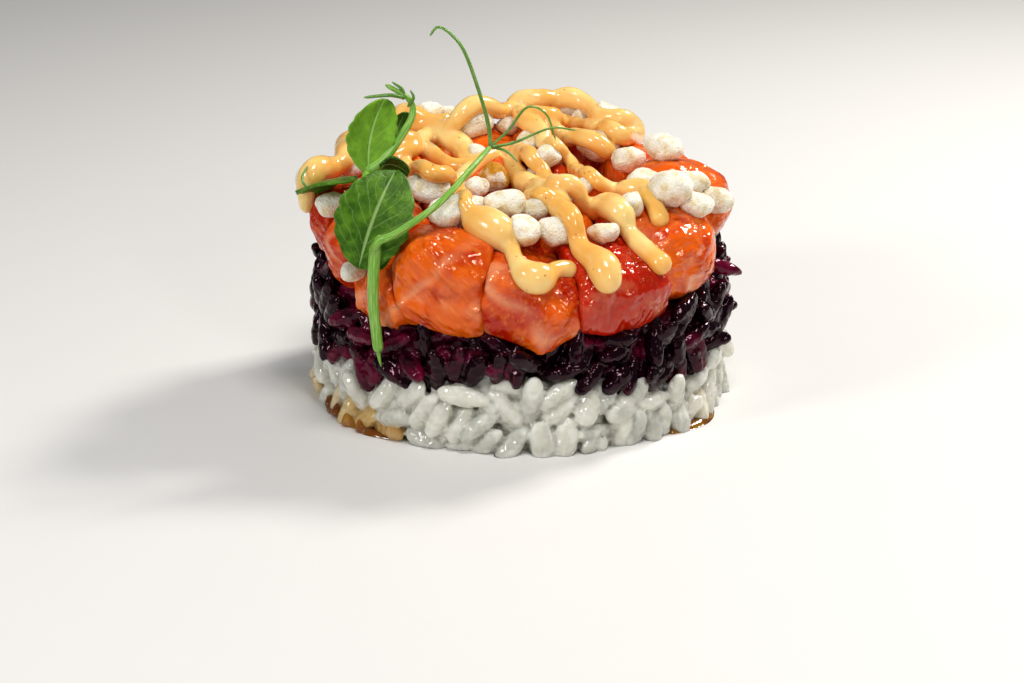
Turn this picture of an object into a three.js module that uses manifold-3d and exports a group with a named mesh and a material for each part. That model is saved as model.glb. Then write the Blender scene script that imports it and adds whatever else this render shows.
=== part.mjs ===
// A round pressed sushi, moulded in a ring: a layer of white rice, a layer of black rice, a crown of
// diced raw salmon, puffed rice under a creamy drizzle, and a pea shoot leaning on the front.
// Millimetres, +Z up. The origin is the middle of the base, on the surface; the front faces -Y.
// A bearing is in degrees round the cake, from the front towards +X.
import * as THREE from 'three';
import { mergeVertices } from 'three/addons/utils/BufferGeometryUtils.js';
import Module from 'manifold-3d';

const wasm = await Module();
wasm.setup();

// ---- Driving dimensions --------------------------------------------------------------------------

const GAP = 0.3;                    // clearance between neighbouring pieces
const CORE_RADIUS = 33;             // packed rice, inside the grains that stand proud of it
const CORE_SEGMENTS = 28;
const LAYER_EDGE = 11.4;            // mean height where white rice meets black
const LAYER_WAVE = 1.6;             // how far that edge wanders up and down
const LAYER_WAVES = 4;              // wanderings round the cake
const BLACK_TOP = 21.6;             // black rice under the salmon, on the axis
const BLACK_TOP_SLOPE = 0.09;       // it rises to the back

const WHITE_GRAIN = { length: 7.6, width: 3.4, depth: 3.0, radius: 33.5 };
const BLACK_GRAIN = { length: 7.6, width: 3.0, depth: 2.9, radius: 33.7 };
const GRAIN_SIDES = 5;
const GRAIN_BLUNTNESS = 0.7;        // below 1, the ends of a grain are blunter
const FACET_ALLOWANCE = 1.1;        // flat faces lie inside the round form they stand for
const GRAIN_TRIES = 6000;           // places tried for grains round the side
const GRAIN_FLOOR = 0.6;            // lowest middle of a grain; the table cuts those grains flat
const GRAIN_HEADROOM = 1.4;         // highest middle of a grain above the black rice
const GRAIN_SPREAD = { lean: 14, proud: 0.35, scale: 0.08 };
const GRAIN_LEFT = 0.45;            // share of a black grain that the salmon has to leave
const GRAIN_CROWDING = 0.94;        // how near two grains may lie, against their width
const CRISP_SIZE = { length: 6.4, width: 4.8, depth: 4.4 };
const CRISP_FOOTPRINT = 0.4;        // share of its width on which a crisp rests
const CRISP_BEND = 0.5;
const CRISP_BEND_RATE = 0.9;        // radians of its bend to the millimetre
const CRISP_TIP = [30, 20];         // degrees by which it rolls over and tips up

const FRONT_DETAIL = 2;             // subdivisions of the salmon dice round the front
const FRONT_BEARING = 78;           // either side of the front
const RIM_DISTANCE = 18;            // dice nearer the axis are inner ones
const OTHER_DETAIL = 1;             // subdivisions of the rest
const DICE_MARGIN = 0.35;           // room that other pieces leave the dice
const TOUCHING = 0.8;               // dice whose reaches fill this share of their distance may touch
const CUTTER_SIZE = 120;            // larger than the whole cake
const CHUNK_POWER = 3.6;            // 2 is a ball, higher is boxier
const CHUNK_CUTS = 2;               // corners of a dice that the knife took off
const CUT_PLACE = [0.62, 0.1];      // least share of the corner left, and how much it varies
const CUT_SHARPNESS = 0.8;          // 1 is a flat cut
const CHUNK_LUMP = 0.045;
const CHUNK_LUMP_RATE = [3.1, 3.7, 4.3];

const DRIP_RADIUS = 31.5;           // sauce beyond this sags over the rim
const DRIP_FALL = 0.36;             // how fast, to the millimetre
const SAUCE_STEP = 3.8;             // length of a stroke between its rings
const SAUCE_SIDES = 5;
const SAUCE_FOOTPRINT = 0.85;       // share of its half thickness on which sauce rests
const SAUCE_LIFT = 0.95;            // share of its half thickness from there up to its middle
const SAUCE_SINK = 0.3;             // the same over a crisp, which it wraps

const TUBE_SHOULDER = 0.8;          // a tube's first and last rings, against its thickness there
const TUBE_NOSE = 0.6;              // how far its ends stand out, in half thicknesses
const LEAF_THICKNESS = 0.5;
const LEAF_NECK = 0.4;              // least half width, at both ends
const LEAF_WAVE_RATE = 7;           // radians of the wavy edge from base to tip
const STEM_SIDES = 5;
const TENDRIL_SIDES = 3;

// Each dice of salmon: bearing, distance from the axis, half sizes along the rim, inwards and up,
// height of its underside, twist about the vertical, roll along the rim, and lean outwards, degrees.
const SALMON_DICE = [
  [3, 26.0, 9.0, 8.2, 7.3, 17.2, -6, 24, 14],        // front, a corner pointing down
  [29, 26.3, 9.8, 8.4, 7.0, 18.0, 4, -3, 16],        // front right, its flat cut side out
  [59, 25.2, 10.2, 8.8, 6.9, 21.6, -5, -8, 10],      // right, a tall bright face
  [93, 25.5, 8.6, 8.4, 7.4, 24.0, 10, 5, 6],
  [120, 25.2, 8.8, 8.6, 7.6, 23.4, -8, -6, 8],
  [146, 25.4, 8.4, 8.6, 7.6, 24.0, 12, 8, 10],
  [171, 25.0, 8.6, 8.6, 7.8, 23.8, -4, -10, 8],
  [197, 25.4, 8.8, 8.4, 7.6, 23.6, 9, 6, 9],
  [224, 25.2, 8.8, 8.8, 7.4, 23.2, -11, -5, 7],
  [251, 25.4, 8.4, 8.6, 7.2, 24.2, 6, 9, 9],
  [278, 25.8, 8.0, 8.4, 6.8, 24.0, -7, -8, 6],
  [300, 25.8, 6.6, 8.2, 6.8, 21.8, 12, 10, 8],       // left, next to the leaf
  [316, 27.4, 6.2, 7.0, 7.0, 15.6, -14, -16, 10],    // low lobe at the front left
  [336, 27.2, 8.6, 7.2, 8.6, 17.2, 6, 10, 12],       // front left, a bulging bright face
  [345, 19.4, 9.6, 9.2, 7.8, 19.6, -10, -6, 8],      // set back above it
  [22, 12.6, 7.6, 6.8, 7.2, 21.4, 15, 6, 4],
  [302, 13.5, 7.8, 7.0, 7.0, 21.4, -12, -6, 3],
  [82, 10.5, 7.4, 6.6, 7.2, 22.0, 8, -7, 0],
  [150, 10.5, 7.8, 7.0, 7.4, 22.6, -15, 6, 0],
  [226, 11.0, 7.6, 7.2, 7.4, 22.4, 10, 5, 0],
];

// Each puffed grain in the heap: place across and back, turn in degrees, and size against the usual.
const HEAP_CRISPS = [
  [-33.6, 1.6, 20, 0.9], [-28.0, 6.0, 70, 0.9], [-20.6, 10.4, 35, 1.0], [-20.4, 1.6, 45, 0.95],
  [-18.0, 22.5, 80, 0.95], [-13.5, 24.5, 15, 0.95], [-14.0, 16.5, 120, 0.9],
  [-11.6, -15.5, 25, 1.1], [-8.0, 20.5, 10, 1.1], [-6.8, 5.6, 60, 0.8], [-6.5, -9.5, 100, 0.9],
  [-7.0, -16.0, 90, 0.8], [-4.0, -4.0, 100, 1.0], [-3.0, -16.5, 170, 1.05], [-1.5, 17.5, 30, 1.0],
  [0.5, -25.5, 40, 1.0], [3.0, -19.0, 0, 0.9], [2.5, -5.0, 30, 0.9], [2.0, 27.0, 0, 1.0],
  [4.5, 4.6, 20, 1.0], [4.0, 17.0, 0, 0.95], [6.0, -26.0, 165, 1.05], [8.5, -11.0, 90, 0.8],
  [9.0, 27.5, 30, 0.9], [11.5, 22.0, 15, 0.9], [13.0, 10.0, 160, 1.15], [16.0, 18.5, 170, 0.9],
  [13.0, -26.0, 20, 0.85], [17.5, -17.0, 80, 0.95], [19.8, -4.8, 160, 1.0], [24.4, -5.4, 110, 1.25],
  [28.0, -2.6, 150, 0.95],
];

// Puffed grains that lie free of the sauce, alone or stuck to each other, in the same terms. The one
// at the front left clings to the side, lower than it would rest.
const FREE_CRISPS = {
  crisp_back_right: [[18.6, 3.4, 40, 1.05]],
  crisp_right: [[25.4, 13.8, 145, 1.1]],
  crisps_front_right: [[27.8, -10.2, 20, 0.95], [31.2, -8.0, 165, 1.05]],
  crisp_left: [[-29.6, -11.0, 10, 0.95]],
  crisp_middle_left: [[-15.0, -6.0, 150, 1.15]],
  crisp_front_left: [[-26.4, -22.6, 40, 0.95, 6]],
};

// Each stroke of sauce: places across and back, with the half thickness there.
const SAUCE_STROKES = [
  // Round the left rim, behind the leaves, along the back and down the right side of the middle.
  [[-35.3, -1.5, 2.2], [-33.5, 2.5, 2.5], [-30.0, 6.5, 2.3], [-29.5, 13.0, 2.2], [-27.5, 20.5, 2.1],
    [-21.5, 26.5, 2.2], [-15.5, 20.5, 1.9], [-11.5, 21.0, 1.9], [-8.0, 27.0, 2.2], [-3.5, 25.0, 2.0],
    [1.0, 18.0, 1.9], [5.0, 7.5, 1.9], [11.0, -2.5, 1.9], [17.5, -6.0, 2.1], [20.8, -8.5, 2.1],
    [21.9, -20.5, 2.2]],
  // The loop at the back right.
  [[4.5, 26.0, 1.8], [10.0, 30.5, 2.0], [14.5, 23.5, 2.0], [19.8, 16.5, 2.1], [19.0, 10.5, 2.0],
    [13.5, 13.0, 1.9], [6.0, 18.5, 1.9], [4.5, 26.0, 1.8]],
  [[3.0, 20.5, 1.8], [8.0, 14.0, 1.9], [13.0, 8.0, 2.1]],
  // The deep ridge in the middle left, its way up to the back, and its tail to the front right.
  [[-12.5, 20.5, 1.8], [-13.4, 13.5, 2.2], [-11.5, 6.5, 3.0], [-7.5, 3.0, 2.1], [-2.0, 4.5, 1.9],
    [2.0, 2.0, 1.9], [5.5, -8.0, 1.9], [9.5, -12.0, 2.0], [13.0, -17.0, 2.2], [17.0, -15.0, 2.2],
    [18.5, -23.0, 2.3], [21.6, -28.4, 2.4]],
  [[-20.0, 8.5, 1.9], [-15.5, 8.5, 2.1], [-11.0, 4.0, 2.2]],
  // From the left to the front, where it forks.
  [[-21.5, 7.0, 2.1], [-16.5, 1.5, 2.0], [-11.5, -2.5, 1.9], [-9.0, -6.0, 1.9], [-8.6, -15.0, 1.9],
    [-6.5, -22.0, 2.9], [-2.5, -27.5, 2.2], [-0.4, -33.6, 2.0], [2.6, -34.3, 2.5]],
  [[0.8, -33.0, 2.0], [4.5, -33.6, 1.9], [8.0, -33.2, 2.2]],
  // From the middle to the large drop at the front.
  [[-1.0, 3.5, 2.1], [-0.6, -4.0, 2.1], [0.0, -11.0, 2.2], [4.0, -18.0, 2.3], [8.0, -25.5, 2.3],
    [10.6, -30.0, 2.4], [13.2, -33.2, 3.0]],
];

// Seeds fix every random draw.
const SEEDS = { grains: 11, salmon: 47, crisps: 83 };

// ---- Shared helpers ------------------------------------------------------------------------------

/** A repeatable stream of numbers from 0 to 1. */
function seededRandom(seed) {
  let state = seed >>> 0;
  return () => {
    state = (state + 0x6d2b79f5) >>> 0;
    let mixed = Math.imul(state ^ (state >>> 15), state | 1);
    mixed ^= mixed + Math.imul(mixed ^ (mixed >>> 7), mixed | 61);
    return ((mixed ^ (mixed >>> 14)) >>> 0) / 4294967296;
  };
}

/** A draw from -amount to +amount. */
const spread = (random, amount) => (2 * random() - 1) * amount;

const radians = THREE.MathUtils.degToRad;

/** The place at a bearing round the cake, a distance from its axis and a height. */
function around(bearing, distance, height) {
  const angle = radians(bearing);
  return new THREE.Vector3(distance * Math.sin(angle), -distance * Math.cos(angle), height);
}

/** A closed geometry as a solid that can be joined and cut. */
function solidOf(geometry) {
  const bare = geometry.clone();
  bare.deleteAttribute('normal');
  bare.deleteAttribute('uv');
  const merged = mergeVertices(bare, 1e-4);
  return new wasm.Manifold(new wasm.Mesh({
    numProp: 3,
    vertProperties: new Float32Array(merged.attributes.position.array),
    triVerts: new Uint32Array(merged.index.array),
  }));
}

/** The largest whole body of a solid: loose scraps are dropped and sealed hollows are filled. */
function wholeBody(solid) {
  const bodies = solid.decompose();
  return bodies.reduce((best, body) => (body.volume() > best.volume() ? body : best));
}

/** One named mesh from a solid. */
function namedMesh(name, solid, material) {
  const mesh = wholeBody(solid).getMesh();
  const geometry = new THREE.BufferGeometry();
  geometry.setAttribute('position', new THREE.BufferAttribute(new Float32Array(mesh.vertProperties), 3));
  geometry.setIndex(new THREE.BufferAttribute(new Uint32Array(mesh.triVerts), 1));
  geometry.computeVertexNormals();
  const result = new THREE.Mesh(geometry, material);
  result.name = name;
  return result;
}

const joined = (solids) => wasm.Manifold.union(solids);

/** Moves every vertex of a geometry with a function that changes a Vector3 in place. */
function reshape(geometry, change) {
  const position = geometry.attributes.position;
  const point = new THREE.Vector3();
  for (let i = 0; i < position.count; i += 1) {
    point.fromBufferAttribute(position, i);
    change(point, i);
    position.setXYZ(i, point.x, point.y, point.z);
  }
  return geometry;
}

// ---- Rice ----------------------------------------------------------------------------------------

/** Height where white rice meets black, round the cake. */
function layerEdge(bearing) {
  return LAYER_EDGE + LAYER_WAVE * Math.cos(radians(LAYER_WAVES * bearing));
}

const bearingOf = (point) => THREE.MathUtils.radToDeg(Math.atan2(point.x, -point.y));

/** A disc of packed rice between two surfaces given as functions of the place. */
function riceCore(radius, bottom, top) {
  const profile = [
    new THREE.Vector2(0, 0), new THREE.Vector2(radius, 0), new THREE.Vector2(radius, 1),
    new THREE.Vector2(0, 1),
  ];
  const disc = new THREE.LatheGeometry(profile, CORE_SEGMENTS);
  disc.rotateX(Math.PI / 2);
  return reshape(disc, (point) => {
    point.z = THREE.MathUtils.lerp(bottom(point), top(point), point.z);
  });
}

/** A spindle with 20 faces: one grain, longest along its own x. */
function grainGeometry(size, scale, extra) {
  const grain = new THREE.SphereGeometry(1, GRAIN_SIDES, 3);
  grain.rotateZ(Math.PI / 2);
  reshape(grain, (point) => {
    point.x = Math.sign(point.x) * Math.abs(point.x) ** GRAIN_BLUNTNESS;
  });
  const half = (across) => across / 2 * scale * FACET_ALLOWANCE + extra;
  return grain.scale(size.length / 2 * scale + extra, half(size.width), half(size.depth));
}

/** Three points along a grain on the unrolled side of the cake: its middle and near both ends. */
function grainSpots({ across, height, angle, grain }) {
  const reach = (grain.length - grain.width) / 2;
  return [-reach, 0, reach].map((along) => (
    [across + along * Math.cos(angle), height + along * Math.sin(angle)]));
}

/** Whether two grains crowd each other; unlike grains keep the gap between pieces as well. */
function crowded(one, other, round) {
  const near = GRAIN_CROWDING * (one.grain.width + other.grain.width) / 2
    + (one.grain === other.grain ? 0 : 2 * GAP);
  return grainSpots(one).some(([x, y]) => grainSpots(other).some(([u, v]) => {
    const apart = Math.abs(x - u);
    return Math.hypot(Math.min(apart, round - apart), y - v) < near;
  }));
}

/** Grains thrown at the side of the cake at random, each kept where it has room. */
function scatterGrains() {
  const random = seededRandom(SEEDS.grains);
  const round = 2 * Math.PI * CORE_RADIUS;
  const kept = [];
  for (let tried = 0; tried < GRAIN_TRIES; tried += 1) {
    const across = random() * round;
    const bearing = across / round * 360;
    const ceiling = BLACK_TOP + BLACK_TOP_SLOPE * around(bearing, CORE_RADIUS, 0).y + GRAIN_HEADROOM;
    const height = THREE.MathUtils.lerp(GRAIN_FLOOR, ceiling, random());
    const grain = height < layerEdge(bearing) ? WHITE_GRAIN : BLACK_GRAIN;
    const candidate = { across, bearing, height, angle: random() * Math.PI, grain };
    if (!kept.some((other) => crowded(candidate, other, round))) {
      kept.push(candidate);
    }
  }
  return kept.map((place) => ({
    ...place,
    lean: spread(random, GRAIN_SPREAD.lean),
    proud: spread(random, GRAIN_SPREAD.proud),
    scale: 1 + spread(random, GRAIN_SPREAD.scale),
  }));
}

/** One grain as a solid, grown by a margin where it has to clear a neighbour. */
function grainSolid({ grain, bearing, height, angle, lean, proud, scale }, margin = 0) {
  const place = new THREE.Matrix4().makeTranslation(around(bearing, grain.radius + proud, height));
  place.multiply(new THREE.Matrix4().makeRotationZ(radians(bearing + lean)));
  place.multiply(new THREE.Matrix4().makeRotationY(-angle));
  return solidOf(grainGeometry(grain, scale, margin).applyMatrix4(place));
}

// ---- Salmon --------------------------------------------------------------------------------------

/** The shape of one dice: a soft block with two knife cuts and slow lumps, as reach by direction. */
function diceReach(half, random) {
  const cuts = Array.from({ length: CHUNK_CUTS }, () => {
    const normal = new THREE.Vector3(spread(random, 1), spread(random, 1), 0.3 + random()).normalize();
    const corner = Math.abs(normal.x) * half[0] + Math.abs(normal.y) * half[1] + normal.z * half[2];
    return { normal, distance: corner * (CUT_PLACE[0] + CUT_PLACE[1] * random()) };
  });
  const phases = CHUNK_LUMP_RATE.map(() => random() * Math.PI * 2);
  return (direction) => {
    const sum = Math.abs(direction.x / half[0]) ** CHUNK_POWER
      + Math.abs(direction.y / half[1]) ** CHUNK_POWER + Math.abs(direction.z / half[2]) ** CHUNK_POWER;
    let reach = sum ** (-1 / CHUNK_POWER);
    cuts.forEach(({ normal, distance }) => {
      const facing = direction.dot(normal);
      if (facing * reach > distance) {
        reach = THREE.MathUtils.lerp(reach, distance / facing, CUT_SHARPNESS);
      }
    });
    const lumps = direction.toArray().map((part, i) => Math.sin(CHUNK_LUMP_RATE[i] * part + phases[i]));
    return reach * (1 + CHUNK_LUMP * (lumps[0] + lumps[1] + lumps[2]));
  };
}

/** One dice in place: its middle, its reach in any direction, and itself grown by a margin. */
function salmonDice(row, random) {
  const [bearing, distance, along, inwards, up, underside, twist, roll, lean] = row;
  const offFront = Math.min(bearing, 360 - bearing);
  const detail = offFront < FRONT_BEARING && distance > RIM_DISTANCE ? FRONT_DETAIL : OTHER_DETAIL;
  const reach = diceReach([along, inwards, up], random);
  const middle = around(bearing, distance, underside + up);
  const turn = new THREE.Matrix4().makeRotationZ(radians(bearing + twist));
  turn.multiply(new THREE.Matrix4().makeRotationX(radians(lean)));
  turn.multiply(new THREE.Matrix4().makeRotationY(radians(roll)));
  const unturn = turn.clone().invert();
  return {
    middle,
    reachTowards: (direction) => reach(direction.clone().transformDirection(unturn)),
    grown: (margin) => {
      const block = new THREE.IcosahedronGeometry(1, detail);
      reshape(block, (point) => point.normalize().multiplyScalar(reach(point) + margin));
      return solidOf(block.applyMatrix4(turn).translate(middle.x, middle.y, middle.z));
    },
  };
}

/** A large block with one face through a place, lying wholly in the direction given. */
function blockBeyond(place, direction) {
  const block = new THREE.BoxGeometry(CUTTER_SIZE, CUTTER_SIZE, CUTTER_SIZE);
  block.translate(0, 0, CUTTER_SIZE / 2);
  block.applyQuaternion(new THREE.Quaternion().setFromUnitVectors(new THREE.Vector3(0, 0, 1), direction));
  return solidOf(block.translate(place.x, place.y, place.z));
}

/** One dice pressed flat against its neighbours, with some margin on all its sides. */
function pressedDice(dice, all, margin) {
  return all.filter((other) => other !== dice).reduce((left, other) => {
    const across = other.middle.clone().sub(dice.middle);
    const apart = across.length();
    const direction = across.normalize();
    const own = dice.reachTowards(direction);
    const theirs = other.reachTowards(direction.clone().negate());
    if (own + theirs < apart * TOUCHING) {
      return left;
    }
    const face = apart * own / (own + theirs) - GAP / 2 + margin;
    return left.subtract(blockBeyond(dice.middle.clone().addScaledVector(direction, face), direction));
  }, dice.grown(margin));
}

// ---- Puffed rice and sauce -----------------------------------------------------------------------

/** Height of whatever lies uppermost over a place, among some meshes. */
function topOver(meshes, x, y) {
  const down = new THREE.Raycaster(new THREE.Vector3(x, y, CUTTER_SIZE), new THREE.Vector3(0, 0, -1));
  const hits = down.intersectObjects(meshes, false);
  return hits.length > 0 ? hits[0].point.z : BLACK_TOP;
}

/** The highest top under a round footprint. A place past the rim hangs down as a drip would. */
function restingHeight(meshes, x, y, footprint) {
  const distance = Math.hypot(x, y);
  const inside = Math.min(1, DRIP_RADIUS / distance);
  const past = Math.max(0, distance - DRIP_RADIUS);
  const tops = [[0, 0], [1, 0], [-1, 0], [0, 1], [0, -1]].map(([right, back]) => (
    topOver(meshes, x * inside + right * footprint, y * inside + back * footprint)));
  return Math.max(...tops) - DRIP_FALL * past * past;
}

/** A puffed grain resting on the salmon. */
function crispSolid([x, y, turn, scale, lower = 0], salmon, random) {
  const { width, depth } = CRISP_SIZE;
  const crisp = grainGeometry(CRISP_SIZE, scale, 0);
  const phase = random() * Math.PI * 2;
  reshape(crisp, (point) => {
    point.y += CRISP_BEND * scale * Math.sin(CRISP_BEND_RATE * point.x + phase);
  });
  crisp.rotateY(radians(spread(random, CRISP_TIP[1])));
  crisp.rotateX(radians(spread(random, CRISP_TIP[0])));
  crisp.rotateZ(radians(turn));
  const base = restingHeight(salmon, x, y, width * scale * CRISP_FOOTPRINT);
  return solidOf(crisp.translate(x, y, base - lower + depth / 2 * scale));
}

/** A closed tube: the rings of a ball set along a path, rounded off at both ends. */
function tubeGeometry(path, thickness, sides) {
  const steps = path.length + 1;
  const curve = new THREE.CatmullRomCurve3(path);
  const frames = curve.computeFrenetFrames(path.length - 1, false);
  const ball = new THREE.SphereGeometry(1, sides, steps);
  return reshape(ball, (point, index) => {
    const ring = Math.floor(index / (sides + 1));
    const at = THREE.MathUtils.clamp(ring - 1, 0, path.length - 1);
    const angle = (index % (sides + 1)) / sides * Math.PI * 2;
    const end = (ring === 0 ? -1 : 0) + (ring === steps ? 1 : 0);
    const share = ring === 1 || ring === steps - 1 ? TUBE_SHOULDER : 1;
    const radius = end === 0 ? thickness[at] * share : 0;
    point.copy(path[at]);
    point.addScaledVector(frames.tangents[at], end * thickness[at] * TUBE_NOSE);
    point.addScaledVector(frames.normals[at], -Math.cos(angle) * radius);
    point.addScaledVector(frames.binormals[at], Math.sin(angle) * radius);
  });
}

/** A stroke of sauce laid over salmon and crisps: on the first it rests, into the others it sinks. */
function sauceStroke(places, salmon, crisps) {
  const plan = new THREE.CatmullRomCurve3(places.map(([x, y, half]) => new THREE.Vector3(x, y, half)));
  const steps = Math.ceil(plan.getLength() / SAUCE_STEP);
  const points = plan.getSpacedPoints(steps);
  const levels = points.map(({ x, y, z: half }) => Math.max(
    restingHeight(salmon, x, y, half * SAUCE_FOOTPRINT) + half * SAUCE_LIFT,
    restingHeight(crisps, x, y, 0) + half * SAUCE_SINK,
  ));
  const path = points.map(({ x, y }, i) => {
    const nearby = (levels[Math.max(0, i - 1)] + levels[i] + levels[Math.min(steps, i + 1)]) / 3;
    return new THREE.Vector3(x, y, Math.max(levels[i], nearby));
  });
  return solidOf(tubeGeometry(path, points.map((point) => point.z), SAUCE_SIDES));
}

// ---- Pea shoot -----------------------------------------------------------------------------------

const vector = ([x, y, z]) => new THREE.Vector3(x, y, z);

/** A stem or tendril through some points, from one half thickness to another. */
function stemSolid(points, thickness, steps, sides) {
  const path = new THREE.CatmullRomCurve3(points.map(vector)).getSpacedPoints(steps);
  const widths = path.map((_, i) => THREE.MathUtils.lerp(thickness[0], thickness[1], i / steps));
  return solidOf(tubeGeometry(path, widths, sides));
}

/** A leaf blade: a thin sheet along a bent midrib, hollowed across and waved at its edge. */
function leafSolid({ base, bend, tip, across, half, cup, wave, fullness = 0.62, cells = [2, 4] }) {
  const midrib = new THREE.QuadraticBezierCurve3(vector(base), vector(bend), vector(tip));
  const side = vector(across).normalize();
  const blade = new THREE.BoxGeometry(2, 2, 1, cells[0], cells[1], 1);
  return solidOf(reshape(blade, (point) => {
    const share = (point.y + 1) / 2;
    const tangent = midrib.getTangent(share);
    const normal = new THREE.Vector3().crossVectors(side, tangent).normalize();
    const width = LEAF_NECK + half * Math.sin(Math.PI * share) ** fullness;
    const lift = cup * point.x * point.x * width + wave * point.x * Math.sin(LEAF_WAVE_RATE * share)
      + point.z * LEAF_THICKNESS;
    const place = midrib.getPoint(share).addScaledVector(side, point.x * width);
    point.copy(place.addScaledVector(normal, lift));
  }));
}

const LEAVES = [
  { // the large one that leans on the front left
    base: [-26.3, -28.4, 29.6], bend: [-24.4, -29.4, 38.0], tip: [-20.6, -20.5, 43.0],
    across: [0.93, 0.1, -0.36], half: 4.9, cup: 0.12, wave: 0.3, cells: [4, 5],
  },
  { // its partner, behind it
    base: [-22.5, -29.0, 31.4], bend: [-18.5, -30.6, 33.0], tip: [-15.8, -27.5, 40.0],
    across: [0.8, 0.2, -0.5], half: 1.7, cup: 0.2, wave: 0.2,
  },
  { // the upper one, upright
    base: [-24.4, -14.6, 41.0], bend: [-25.0, -11.5, 47.0], tip: [-21.8, -10.0, 52.2],
    across: [0.95, 0.25, -0.15], half: 3.6, cup: 0.16, wave: 0.3, cells: [4, 5],
  },
  { // grey green, behind the upper stem
    base: [-19.9, -9.8, 45.0], bend: [-20.4, -7.5, 47.0], tip: [-18.6, -7.8, 49.4],
    across: [0.9, 0.4, 0], half: 1.4, cup: 0.1, wave: 0.1,
  },
  { // dark, in the fork
    base: [-22.6, -14.6, 42.2], bend: [-20.4, -12.5, 42.8], tip: [-18.0, -12.4, 40.4],
    across: [-0.3, 0.5, -0.8], half: 1.5, cup: 0.1, wave: 0.1,
  },
  { // on the left, its edge to the front
    base: [-26.3, -12.6, 39.8], bend: [-31.0, -12.6, 39.6], tip: [-36.4, -11.6, 37.0],
    across: [0.1, -0.94, 0.32], half: 5.0, cup: 0.14, wave: 0.35, cells: [4, 5],
  },
];

// Each stem: its points, half thickness at both ends, steps and sides.
const FORK = [-4.9, -10.0, 44.2];
const LOWER_NODE = [-22.7, -28.6, 33.2];
const UPPER_NODE = [-24.8, -14.5, 41.1];
const STEMS = [
  [[LOWER_NODE, [-23.1, -28.9, 28.5], [-23.2, -28.8, 23.5], [-22.5, -28.9, 15.6]], [0.95, 0.85], 7,
    STEM_SIDES],
  [[LOWER_NODE, [-19.2, -29.2, 35.4], [-12.8, -26.0, 39.2], [-7.7, -17.5, 42.8], FORK], [0.8, 0.55], 9,
    STEM_SIDES],
  [[LOWER_NODE, [-22.9, -26, 36.3], [-24.2, -21, 39.4], UPPER_NODE], [0.8, 0.7], 6, STEM_SIDES],
  [[UPPER_NODE, [-22.3, -13.5, 42.6], [-19.7, -11, 45.6], [-17.5, -9, 49.1], [-18.0, -9, 51.9],
    [-21.6, -10.5, 54.6]], [0.75, 0.3], 9, STEM_SIDES],
  [[[-18.6, -9.4, 52.3], [-21.1, -11, 53.0], [-25.0, -13, 53.1]], [0.4, 0.28], 5, TENDRIL_SIDES],
  [[FORK, [-5.0, -9.2, 46.4], [-6.0, -10, 51.2], [-8.7, -12, 59.8], [-10.9, -12, 63.0],
    [-13.1, -12, 64.3], [-14.4, -12, 62.9]], [0.5, 0.3], 14, TENDRIL_SIDES],
  [[FORK, [-1.9, -7, 46.3], [1.1, -5.5, 49.7], [4.2, -4, 48.2], [5.8, -4, 43.9]], [0.4, 0.28], 8,
    TENDRIL_SIDES],
  [[FORK, [-1.0, -9, 44.7], [4.8, -8, 46.8], [9.1, -6, 46.0]], [0.4, 0.26], 6, TENDRIL_SIDES],
  [[FORK, [-2.4, -9.4, 43.4], [-0.4, -10.6, 41.9]], [0.36, 0.26], 3, TENDRIL_SIDES],
  [[[-34.6, -12, 37.9], [-35.4, -11, 39.3], [-34.4, -8, 40.8]], [0.36, 0.26], 3, TENDRIL_SIDES],
];

// ---- Materials -----------------------------------------------------------------------------------

const finish = (colour, roughness) => new THREE.MeshStandardMaterial({
  color: colour, roughness, metalness: 0, flatShading: true,
});
const WHITE_RICE_FINISH = finish('#dfe0d6', 0.35);
const BLACK_RICE_FINISH = finish('#2a0a18', 0.3);
const SALMON_FINISH = finish('#e5601c', 0.3);
const CRISP_FINISH = finish('#efe6d4', 0.75);
const SAUCE_FINISH = finish('#f0b964', 0.25);
const SHOOT_FINISH = finish('#5f9a35', 0.45);

// ---- Assembly ------------------------------------------------------------------------------------

/** Packed black rice between two heights above and below its own surfaces. */
function blackCore(margin) {
  return solidOf(riceCore(
    CORE_RADIUS + margin,
    (point) => layerEdge(bearingOf(point)) - margin,
    (point) => BLACK_TOP + BLACK_TOP_SLOPE * point.y + margin,
  ));
}

/** The salmon dice on the black rice, and the room that the rest leaves them. */
function buildSalmon() {
  const random = seededRandom(SEEDS.salmon);
  const dice = SALMON_DICE.map((row) => salmonDice(row, random));
  const rice = blackCore(GAP);
  const meshes = dice.map((one, i) => {
    const resting = pressedDice(one, dice, 0).subtract(rice);
    return namedMesh(`salmon_${String(i + 1).padStart(2, '0')}`, resting, SALMON_FINISH);
  });
  return { meshes, space: joined(dice.map((one) => pressedDice(one, dice, DICE_MARGIN))) };
}

/** The black rice: its packed core and the grains that show, cut back under the salmon. */
function buildBlackRice(grains, salmonSpace) {
  const cut = grains.map((grain) => {
    const whole = grainSolid(grain);
    const left = whole.subtract(salmonSpace);
    return left.volume() > GRAIN_LEFT * whole.volume() ? left : null;
  });
  const solid = joined([blackCore(0), ...cut.filter((grain) => grain !== null)]);
  return namedMesh('black_rice', solid, BLACK_RICE_FINISH);
}

/** The white rice, flat where it stands on the table. */
function buildWhiteRice(grains, blackGrains) {
  const edge = (point) => layerEdge(bearingOf(point)) - GAP;
  const core = solidOf(riceCore(CORE_RADIUS, () => 0, edge));
  const above = [blackCore(GAP), ...blackGrains.map((grain) => grainSolid(grain, GAP))];
  const solid = joined([core, ...grains.map((grain) => grainSolid(grain))]);
  const standing = solid.intersect(blockBeyond(new THREE.Vector3(), new THREE.Vector3(0, 0, 1)));
  return namedMesh('white_rice', standing.subtract(joined(above)), WHITE_RICE_FINISH);
}

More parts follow.
